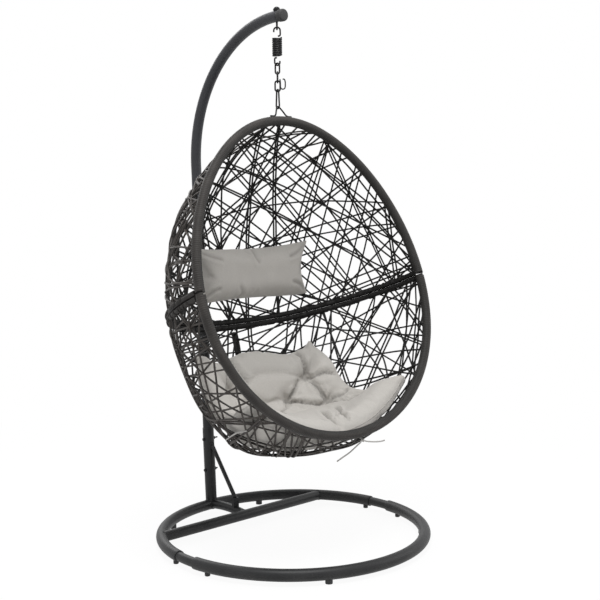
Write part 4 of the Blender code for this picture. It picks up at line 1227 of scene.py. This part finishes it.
# %% Winding
def wound(name, route, radius, pitch, depth, steps=14):
    """A tube along a route, wound with a flat strand of the pitch's width that bulges by depth."""
    route = np.asarray(route, float)
    turns = round(length_of(route) / pitch)
    pitch = length_of(route) / turns
    bpy.ops.mesh.primitive_circle_add(vertices=8, radius=pitch / 2, rotation=(pi / 2, 0, 0))
    item = bpy.context.object
    item.name = name
    bpy.ops.object.transform_apply(location=True, rotation=True, scale=True)
    with editing(item, "DESELECT"):
        bm = bmesh.from_edit_mesh(item.data)
        for vert in bm.verts:
            vert.select = vert.co.z < -1e-6
        bm.select_flush_mode()
        bmesh.update_edit_mesh(item.data)
        bpy.ops.mesh.delete(type="VERT")
    with editing(item):
        bpy.ops.transform.resize(value=(1, 1, depth / (pitch / 2)))
        bpy.ops.transform.translate(value=(pitch / 2, 0, 0))
    low = min(v.co.z for v in item.data.vertices)
    item.data.transform(Matrix.Translation((0, 0, radius - depth - low)))
    screw = item.modifiers.new("winding", "SCREW")
    screw.axis = "X"
    screw.angle = 2 * pi
    screw.screw_offset = pitch
    screw.iterations = turns
    screw.steps = steps
    screw.render_steps = steps
    apply_all(item)
    with editing(item):
        bpy.ops.mesh.remove_doubles(threshold=0.0001)
        bpy.ops.mesh.select_all(action="SELECT")
        bpy.ops.mesh.fill_holes(sides=0)
        bpy.ops.mesh.select_all(action="SELECT")
        bpy.ops.mesh.normals_make_consistent(inside=False)
    guide = path_curve(name + "_guide", [route])
    guide.data.twist_mode = "MINIMUM"
    guide.data.use_stretch = True
    guide.data.use_deform_bounds = True
    bend = item.modifiers.new("bend", "CURVE")
    bend.object = guide
    bend.deform_axis = "POS_X"
    apply_all(item)
    bpy.data.objects.remove(guide, do_unlink=True)
    write_along(item, [route])
    only(item)
    bpy.ops.object.shade_smooth_by_angle(angle=radians(50))
    return item


# %% [markdown]
# The rim is split where the egg's halves meet. The band is two bars side by side, one on each half, and the
# strands that end there are wound a few times round it. The rib is the same winding drawn wide.

# %% Rim, band and rib
RIM_PITCH = 0.0072
BAR_PITCH = 0.0068
edge = CLEAR / RIM_HALF_WIDTH
upper_angles = np.linspace(-BAND_ANGLE + edge, BAND_ANGLE - edge, 240)
lower_angles = np.linspace(BAND_ANGLE + edge, 2 * pi - BAND_ANGLE - edge, 240)
for name, angles in (("rim_upper", upper_angles), ("rim_lower", lower_angles)):
    piece = wound(name + "_winding", rim_point(angles), RIM_TUBE, RIM_PITCH, 0.0008)
    finished(piece, "egg", WRAP, name)
    print(piece.name, len(piece.data.polygons), "faces")


def band_line(offset, stop):
    angle = np.linspace(0, pi, 401)
    line = bowl_point(rim_width(BAND_ANGLE) * np.cos(angle), BAND_S)
    near = rim_point(BAND_ANGLE)
    far = near * (-1, 1, 1)
    clear = np.minimum(np.linalg.norm(line - near, axis=1), np.linalg.norm(line - far, axis=1)) > stop
    return line[clear] + BAND_NORMAL * offset


LASHING = 0.0017            # radius


def lashings(route, side, count):
    """Where strands end they are wound a few times round the outer side of their bar."""
    route = evenly(route, 600)
    arc = np.linspace(-2.0, 2.0, 15)[:, None]
    reach = BAR_TUBE + 0.6 * LASHING
    lines = []
    for _ in range(count):
        k = random.integers(12, 588)
        along_bar = route[k + 2] - route[k - 2]
        along_bar /= np.linalg.norm(along_bar)
        level = np.cross(along_bar, BAND_NORMAL)
        slant = random.normal(0, 0.003)
        ring = route[k] + reach * (np.cos(arc) * side * BAND_NORMAL + np.sin(arc) * level)
        for turn in range(random.integers(2, 5)):
            lines.append(ring + along_bar * (1.9 * LASHING * turn + slant * arc))
    return tube("lashings", lines, LASHING, sides=6, grain=True)


for name, side in (("band_upper", 1), ("band_lower", -1)):
    route = evenly(band_line(side * BAR_OFFSET, RIM_TUBE + 0.0012), 160)
    piece = wound(name + "_winding", route, BAR_TUBE + CLEAR, BAR_PITCH, 0.0004, steps=10)
    piece = joined(name + "_winding", [piece, lashings(route, side, 100)])
    finished(piece, "egg", DARK_WRAP, name)

RIB_THICK = 0.0065
RIB_WIDE = 2.0
rib_s = np.linspace(BAND_S, -0.94, 120)
rib_line = bowl_point(0 * rib_s, rib_s) - bowl_normal(0 * rib_s, rib_s) * (RIB_THICK + 0.003 + 0.0006)
rib_line = rib_line[(BAND_BACK - rib_line) @ BAND_NORMAL > 0.0245]
rib = wound("rib_winding", evenly(rib_line, 80), RIB_THICK, BAR_PITCH, 0.0006, steps=12)
with editing(rib):
    bpy.ops.transform.resize(value=(RIB_WIDE, 1, 1), center_override=(0, 0, 0))
finished(rib, "egg", DARK_WRAP, "lower_rib")
print("rib:", round(length_of(rib_line), 3), "m long")

# %% [markdown]
# ## Stuffed cushions
#
# A cushion is two sheets of cloth sewn at the edge and filled. We draw the sheet at its middle as a grid,
# thicken it by how full it is at each place, remesh it evenly, and let a short cloth simulation blow it up,
# held at its tufts. The simulation gives the tension of real cloth, and a limit keeps the pad inside the
# egg. Folds and seams are pressed in afterwards, along lines drawn on the sheet.

# %% Cushions: the sheets
SEAT_THICK = 0.105
SEAT_EDGE = 0.46
SEAT_GAP = 0.0165           # from the bowl's middle surface
SEAT_HALVES = ((0.0, 0.318), (0.25, 0.370), (0.5, 0.376), (0.8, 0.412), (1.0, 0.414))
SEAT_TOP = ((0.0, 0.672), (0.20, 0.648), (0.26, 0.660), (0.33, 0.715), (0.45, 0.690))
SEAT_FRONT_GAP = 0.036
PILLOW_X = 0.060
PILLOW_HALF = 0.268
PILLOW_HALF_HEIGHT = 0.104
PILLOW_THICK = 0.095
PILLOW_S = -0.417
PILLOW_GAP = 0.0075
SEAT_TUFTS = (
    (0.64, 0.61), (0.73, 0.13), (0.28, 0.40), (0.86, -0.33),
    (-0.62, 0.60), (-0.70, 0.12), (-0.24, 0.38), (-0.84, -0.34), (0.02, -0.10),
)


def along(table, value):
    """A value read from a short table of pairs, smoothly."""
    for (x0, y0), (x1, y1) in zip(table, table[1:]):
        if value <= x1:
            share = max(0.0, (value - x0) / (x1 - x0))
            return y0 + (y1 - y0) * share * share * (3 - 2 * share)
    return table[-1][1]


def crown(a, b, edge):
    body = (1 - min(1.0, abs(a)) ** 4) ** 0.5 * (1 - min(1.0, abs(b)) ** 4) ** 0.5
    return edge + (1 - edge) * body


def seat_column(x):
    """The seat's line over the bowl at a width: its places up the rim's plane, and its points."""
    low, high = BAND_ANGLE, pi
    for _ in range(30):
        middle = (low + high) / 2
        if rim_width(middle) > abs(x):
            low = middle
        else:
            high = middle
    start, stop = -0.5 * RIM_HALF_HEIGHT, RIM_HALF_HEIGHT * (cos(low) - 1)
    s = start + (stop - start) * (1 - (1 - np.linspace(0, 1, 401)) ** 4)
    places = bowl_point(x, s)
    rim = rim_point(low) * (0, 1, 1) + (x, 0, 0)
    first = np.argmax(places[:, 2] <= along(SEAT_TOP, abs(x)))
    close = np.linalg.norm(places - rim, axis=1) < SEAT_FRONT_GAP
    last = np.argmax(close) if close.any() else len(s)
    return s[first:last], places[first:last]


def seat_place(a, b, thick):
    """Middle of the seat pad, at a across and b from front (-1) to the back's top (1)."""
    share = (1 - b) / 2
    x = a * along(SEAT_HALVES, share) * (1 - 0.045 * abs(a) ** 6)
    s, places = seat_column(x)
    lengths = distances(places)
    want = lengths[-1] * share
    at = np.interp(want, lengths, s)
    return bowl_point(x, at) + bowl_normal(x, at) * (SEAT_GAP + thick / 2)


def seat_fullness(a, b):
    full = crown(a, b, SEAT_EDGE)
    for ta, tb in SEAT_TUFTS:
        near = ((a - ta) / 0.20) ** 2 + ((b - tb) / 0.17) ** 2
        full *= 1 - 0.22 * max(0.0, 1 - near)
    return full


def pillow_place(a, b, thick):
    x = PILLOW_X + a * PILLOW_HALF * (1 - 0.08 * (1 - b * b) * abs(a) ** 3)
    drawn = 0.26 if b > 0 else 0.12
    s = PILLOW_S + b * PILLOW_HALF_HEIGHT * (1 - drawn * (1 - a * a) * abs(b) ** 3) - 0.2 * x * x
    return bowl_point(x, s) + bowl_normal(x, s) * (PILLOW_GAP + thick / 2)


def pillow_fullness(a, b):
    return crown(a, b, 0.12)


# %% [markdown]
# The sheet is thickened by the Solidify modifier, which a vertex group scales from place to place, and the
# Remesh modifier makes its cells even, which cloth needs. Pressing a fold in by its distance from a drawn
# line keeps it where the photograph shows it, which the simulation alone wouldn't do.

# %% Cushions: making and filling one
def filled_sheet(name, columns, rows, place, fullness, thickness, voxel):
    """A grid laid at the cushion's middle, thickened by its fullness, and remeshed evenly."""
    bpy.ops.mesh.primitive_grid_add(x_subdivisions=columns, y_subdivisions=rows, size=2)
    item = bpy.context.object
    item.name = name
    group = item.vertex_groups.new(name="fullness")
    for vert in item.data.vertices:
        a, b = vert.co.x, vert.co.y
        full = fullness(a, b)
        group.add([vert.index], full, "REPLACE")
        vert.co = place(a, b, full * thickness)
    wall = item.modifiers.new("filling", "SOLIDIFY")
    wall.thickness = thickness
    wall.offset = 0.0
    wall.vertex_group = "fullness"
    rounding = item.modifiers.new("rounding", "SUBSURF")
    rounding.levels = 1
    rounding.render_levels = 1
    even = item.modifiers.new("even", "REMESH")
    even.mode = "VOXEL"
    even.voxel_size = voxel
    apply_all(item)
    item.vertex_groups.clear()
    return item


PRESSURE = 4.0
BLOW_FRAMES = 20


def inflate(item, held, reach, low, high):
    """Blow the pad up with cloth, holding it near some points. It may move by low where it lies on the bowl,
    and by high well above it."""
    before = corners_of(item)
    pins = item.vertex_groups.new(name="held")
    for spot in held:
        away = np.linalg.norm(before - spot, axis=1)
        for index in np.nonzero(away < reach)[0]:
            pins.add([int(index)], 1.0, "REPLACE")
    blow = item.modifiers.new("stuffing", "CLOTH")
    blow.settings.quality = 4
    blow.settings.use_pressure = True
    blow.settings.uniform_pressure_force = PRESSURE
    blow.settings.effector_weights.gravity = 0.0
    blow.settings.bending_stiffness = 0.3
    if held:
        blow.settings.vertex_group_mass = "held"
    blow.point_cache.frame_start = 1
    blow.point_cache.frame_end = BLOW_FRAMES
    for frame_number in range(1, BLOW_FRAMES + 1):
        bpy.context.scene.frame_set(frame_number)
    only(item)
    bpy.ops.object.modifier_apply(modifier=blow.name)
    bpy.context.scene.frame_set(1)
    move = corners_of(item) - before
    far = np.maximum(np.linalg.norm(move, axis=1, keepdims=True), 1e-9)
    height = np.array([bowl_tree.find_nearest(Vector(co))[3] for co in before])[:, None]
    share = np.clip((height - 0.018) / 0.045, 0, 1)
    cap = low + (high - low) * share
    after = before + move / far * cap * (1 - np.exp(-far / cap))
    item.data.vertices.foreach_set("co", after.ravel())
    item.data.update()
    print(item.name, "moved up to", round(float(far.max()) * 1000, 1), "mm before the limit")


SHEET_STEPS = 61


def sheet_map(item, place, fullness, thickness, size):
    """Each corner's a and b on the sheet, in metres, its normal, and how far it faces the sitter."""
    n = SHEET_STEPS
    line = np.linspace(-1, 1, n)
    tree = nearby([place(a, b, fullness(a, b) * thickness) for a in line for b in line])
    found = []
    for co in corners_of(item):
        near = tree.find_n(co, 5)
        weight = np.array([1 / (0.003 + d) ** 3 for _, _, d in near])
        index = np.array([k for _, k, _ in near])
        spot = np.stack([line[index // n], line[index % n]], axis=1)
        found.append(weight @ spot / weight.sum())
    normals = np.zeros(len(item.data.vertices) * 3)
    item.data.vertices.foreach_get("normal", normals)
    normals = normals.reshape(-1, 3)
    facing = []
    for co, normal in zip(corners_of(item), normals):
        up = Vector(co) - bowl_tree.find_nearest(Vector(co))[0]
        facing.append(Vector(normal).dot(up))
    return np.array(found) * size, normals, np.clip(np.array(facing) / 0.03, 0, 1)


def line_distance(spots, line):
    """Distance from each spot to a drawn line, and how far along it the nearest place is."""
    best = np.full(len(spots), 9.0)
    share = np.zeros(len(spots))
    for k, (start, end) in enumerate(zip(line, line[1:])):
        way = end - start
        t = np.clip((spots - start) @ way / (way @ way), 0, 1)
        away = np.linalg.norm(spots - start - t[:, None] * way, axis=1)
        closer = away < best
        best[closer] = away[closer]
        share[closer] = (k + t[closer]) / (len(line) - 1)
    return best, share


def press(item, mapped, size, tufts, folds):
    """Sink tufts and folds into the side that faces the sitter, and store where shade is painted into the
    cloth.
    """
    spots, normals, top = mapped
    sink = np.zeros(len(spots))
    # painted shade: darkening for tuft hollows, folds and the seat's back panel, stored as a point attribute
    painted_shade = np.zeros(len(spots))
    for k, (a, b) in enumerate(tufts):
        side = spots - np.array((a, b)) * size
        r = np.linalg.norm(side, axis=1)
        turn = np.arctan2(side[:, 1], side[:, 0])
        sink += 0.010 * np.exp(-(r / 0.032) ** 2) + 0.006 * np.exp(-(r / 0.009) ** 2)
        sink += 0.0018 * np.exp(-r / 0.045) * np.cos(5 * turn + 1.7 * k) * np.clip(r / 0.02, 0, 1)
        painted_shade = np.maximum(painted_shade, np.exp(-(r / 0.010) ** 2))
    if tufts:
        # painted shade: the seat's back panel is darkened, for the shade the weave casts on it
        back = np.clip((spots[:, 1] / size[1] - 0.60) / 0.15, 0, 1)
        painted_shade = np.maximum(painted_shade, 0.36 * back)
    for depth, width, points in folds:
        line = smooth_line([(*np.array(p) * size, 0.0) for p in points], 6)[:, :2]
        away, share = line_distance(spots, line)
        fade = np.clip(np.minimum(share, 1 - share) / 0.18, 0, 1)
        sink += depth * fade * (0.75 * np.exp(-(away / width) ** 2) + 0.35 * np.exp(-(away / 0.006) ** 2))
        painted_shade = np.maximum(painted_shade, fade * min(1.0, depth / 0.009) * np.exp(-(away / 0.0055) ** 2))
        sink -= 0.35 * depth * fade * np.exp(-((away - 2.1 * width) / width) ** 2)
    for k, (co, n) in enumerate(zip(corners_of(item), normals)):
        spot = Vector(co)
        loose = 0.0030 * noise.noise(spot * 9.0) + 0.0014 * noise.noise(spot * 24.0)
        sink[k] = sink[k] * top[k] + loose * (0.2 + 0.8 * top[k])
    moved = corners_of(item) - normals * sink[:, None]
    item.data.vertices.foreach_set("co", moved.ravel())
    item.data.attributes.new("painted_shade", "FLOAT", "POINT").data.foreach_set("value", painted_shade * top)
    item.data.update()


def edge_seam(item, place, fullness, thickness, radius):
    """A sewn edge: a thin cord round the pad's side, half sunk in it."""
    skin = BVHTree.FromPolygons([v.co for v in item.data.vertices], [p.vertices for p in item.data.polygons])
    side = np.linspace(-1, 1, 70)[:-1]
    square = [(t, 1) for t in side] + [(1, -t) for t in side]
    square += [(-t, -1) for t in side] + [(-1, t) for t in side]
    ring = []
    for a, b in square:
        here = np.array(place(a, b, fullness(a, b) * thickness))
        inner = np.array(place(0.97 * a, 0.97 * b, fullness(0.97 * a, 0.97 * b) * thickness))
        out = (here - inner) / np.linalg.norm(here - inner)
        ring.append(np.array(skin.find_nearest(Vector(here + out * 0.012))[0]))
    ring = np.array(ring)
    for _ in range(3):
        ring = (np.roll(ring, 1, axis=0) + 2 * ring + np.roll(ring, -1, axis=0)) / 4
    cord = tube("seam", [ring], radius, sides=8, closed=True)
    return joined(item.name, [item, cord])


SHEET_CELLS = 44
SEAM = 0.0016
HELD_REACH = 0.012


def soft_pad(name, node, place, fullness, thickness, start, voxel, size, tufts, folds, low, high, finish):
    """A pad from its sheet: started at a share of its thickness, blown up, pressed and sewn."""
    item = filled_sheet(name, SHEET_CELLS, SHEET_CELLS, place, fullness, thickness * start, voxel)
    spots = [place(a, b, fullness(a, b) * thickness * start * 2) for a, b in tufts]
    spots += [place(a, b, 0.0) for a, b in tufts]
    inflate(item, spots, HELD_REACH, low, high)
    finer = item.modifiers.new("finer", "SUBSURF")
    finer.levels = 1
    finer.render_levels = 1
    apply_all(item)
    mapped = sheet_map(item, place, fullness, thickness, np.array(size))
    press(item, mapped, np.array(size), tufts, folds)
    item = edge_seam(item, place, fullness, thickness, SEAM)
    write_cloth(item)
    only(item)
    bpy.ops.object.shade_smooth()
    finished(item, "egg", finish, node)
    print(name, "has", len(item.data.polygons), "faces")
    return item


# %% [markdown]
# Both cushions come from the same steps. The seat's folds run from tuft to tuft and out to its edge, and the
# pillow has short pulls at its corners only.

# %% The seat pad and the pillow
SEAT_SIZE = (0.37, 0.42)
SEAT_FOLDS = (              # depth, width, and places on the sheet
    (0.010, 0.012, ((0.67, 0.97), (0.70, 0.83), (0.63, 0.61))),
    (0.010, 0.012, ((0.65, 0.58), (0.70, 0.40), (0.72, 0.15))),
    (0.008, 0.010, ((0.50, 0.63), (0.43, 0.53), (0.30, 0.41))),
    (0.003, 0.016, ((-0.33, 0.63), (-0.13, 0.70), (0.07, 0.70), (0.33, 0.70), (0.63, 0.63))),
    (0.010, 0.014, ((0.64, 0.61), (0.80, 0.50), (0.97, 0.30))),
    (0.010, 0.013, ((0.28, 0.40), (0.45, 0.33), (0.72, 0.14))),
    (0.009, 0.012, ((0.73, 0.13), (0.80, -0.10), (0.86, -0.32))),
    (0.007, 0.010, ((0.96, -0.02), (0.88, -0.06), (0.76, 0.12))),
    (0.012, 0.010, ((0.45, -0.30), (0.28, -0.62), (0.15, -0.99))),
    (0.012, 0.010, ((0.22, -0.36), (0.06, -0.66), (-0.04, -0.99))),
    (0.009, 0.013, ((-0.40, 1.0), (-0.40, 0.83), (-0.27, 0.63))),
    (0.009, 0.012, ((-0.62, 0.97), (-0.66, 0.80), (-0.62, 0.60))),
    (0.009, 0.012, ((-0.62, 0.58), (-0.68, 0.36), (-0.70, 0.12))),
    (0.009, 0.012, ((-0.24, 0.38), (-0.45, 0.28), (-0.70, 0.12))),
    (0.008, 0.012, ((-0.70, 0.12), (-0.78, -0.12), (-0.84, -0.34))),
    (0.008, 0.014, ((0.28, 0.40), (0.12, 0.16), (0.02, -0.10))),
    (0.008, 0.014, ((-0.24, 0.38), (-0.10, 0.16), (0.02, -0.10))),
    (0.006, 0.012, ((-0.35, -0.30), (-0.20, -0.60), (-0.10, -0.95))),
)
seat = soft_pad(
    "seat_pad", "seat_cushion", seat_place, seat_fullness, SEAT_THICK, 0.82, 0.008, SEAT_SIZE,
    SEAT_TUFTS, SEAT_FOLDS, 0.003, 0.022, SEAT_CLOTH,
)

PILLOW_FOLDS = (
    (0.005, 0.008, ((-0.98, 0.90), (-0.80, 0.66), (-0.62, 0.52))),
    (0.005, 0.008, ((0.98, 0.90), (0.82, 0.62), (0.66, 0.50))),
    (0.004, 0.007, ((-0.98, -0.90), (-0.84, -0.62), (-0.70, -0.50))),
    (0.004, 0.007, ((0.98, -0.90), (0.86, -0.60), (0.70, -0.44))),
    (0.004, 0.010, ((0.10, 0.98), (0.04, 0.60), (0.10, 0.30))),
    (0.003, 0.009, ((-0.30, -0.98), (-0.26, -0.70), (-0.36, -0.45))),
)
pillow = soft_pad(
    "pillow", "head_pillow", pillow_place, pillow_fullness, PILLOW_THICK, 0.86, 0.006,
    (PILLOW_HALF, PILLOW_HALF_HEIGHT), (), PILLOW_FOLDS, 0.002, 0.014, SHADED_PILLOW_CLOTH,
)

# %% [markdown]
# ## The light, the floor and the background
#
# The photograph is a studio shot on pure white. The floor is a pale sheet that takes the chair's soft shadow.
# For the camera it fades to plain white further out, so no horizon shows, and the world behind is white too.
# Light rays meet an ordinary pale floor and a softer grey world, which fills the shadows.

# %% Stage
FLOOR_SIZE = 60.0
PLAIN_WHITE = 0.93          # how much of the floor under the chair is plain white; the rest shows its shadow
bpy.ops.mesh.primitive_plane_add(size=FLOOR_SIZE)
floor = bpy.context.object
floor.name = "floor"
paper = Finish("floor_paper", Roughness=0.9, Specular_IOR_Level=0.1)
cloud = paper.noise(paper.place(), 3.0, 2.0)
paper.feed("Base Color", paper.blend(cloud, (0.93, 0.93, 0.93), (0.91, 0.91, 0.91)))
where = paper.node("ShaderNodeTexCoord", output="Object")
away = paper.node("ShaderNodeVectorMath", {"operation": "LENGTH"}, {0: where}, output="Value")


def seen(net):
    """1 for the rays that the camera sees directly, in a mirror or through glass."""
    kinds = ("Camera", "Glossy", "Transmission")
    rays = [net.node("ShaderNodeLightPath", output=f"Is {kind} Ray") for kind in kinds]
    return rays[0].maths("MAXIMUM", rays[1]).maths("MAXIMUM", rays[2])


glow = paper.node("ShaderNodeEmission", None, {"Color": (1.0, 1.0, 1.0), "Strength": 1.0})
share = seen(paper) * (PLAIN_WHITE + away.between(0.5, 2.6) * (1 - PLAIN_WHITE))
output = paper.tree.nodes["Material Output"]
both = paper.node("ShaderNodeMixShader", None, {0: share, 2: glow})
paper.tree.links.new(paper.shader.outputs[0], both.socket.node.inputs[1])
paper.tree.links.new(both.socket, output.inputs["Surface"])
floor.data.materials.append(paper.material)


def soft_light(name, place, aim, size, power):
    bpy.ops.object.light_add(type="AREA", location=place)
    lamp = bpy.context.object
    lamp.name = name
    lamp.data.shape = "DISK"
    lamp.data.size = size
    lamp.data.energy = power
    lamp.rotation_euler = (Vector(aim) - Vector(place)).to_track_quat("-Z", "Y").to_euler()


soft_light("key", (-1.0, -1.4, 5.2), (0, 0, 0.8), 2.2, 175)
soft_light("fill", (3.2, -2.6, 2.6), (0, 0, 0.8), 3.0, 36)
soft_light("back", (0.8, 3.4, 3.0), (0, 0, 1.0), 2.5, 50)

world = bpy.data.worlds.new("studio")
bpy.context.scene.world = world
world.use_nodes = True
sky = Net(world.node_tree)
plain = sky.node("ShaderNodeBackground", None, {"Color": (1.0, 1.0, 1.0), "Strength": 0.56})
white = sky.node("ShaderNodeBackground", None, {"Color": (1.0, 1.0, 1.0), "Strength": 1.0})
both = sky.node("ShaderNodeMixShader", None, {0: seen(sky), 1: plain, 2: white})
sky.tree.links.new(both.socket, sky.tree.nodes["World Output"].inputs["Surface"])
bpy.context.scene.view_settings.view_transform = "Standard"

# %% [markdown]
# ## CAD pieces that stay
#
# The bolts, nuts, glides and the brace's strap are already the right shape, so they keep their CAD meshes
# and only get a better finish.

# %% Kept pieces
for name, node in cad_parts.items():
    if node.hide_render:
        continue
    if name.startswith("foot_"):
        chosen = RUBBER
    elif name == "brace_foot":
        chosen = SHADED_BASE_COAT
    else:
        chosen = BLACK_STEEL
    node.data.materials.clear()
    node.data.materials.append(chosen)
    print("kept:", name, "in", chosen.name)
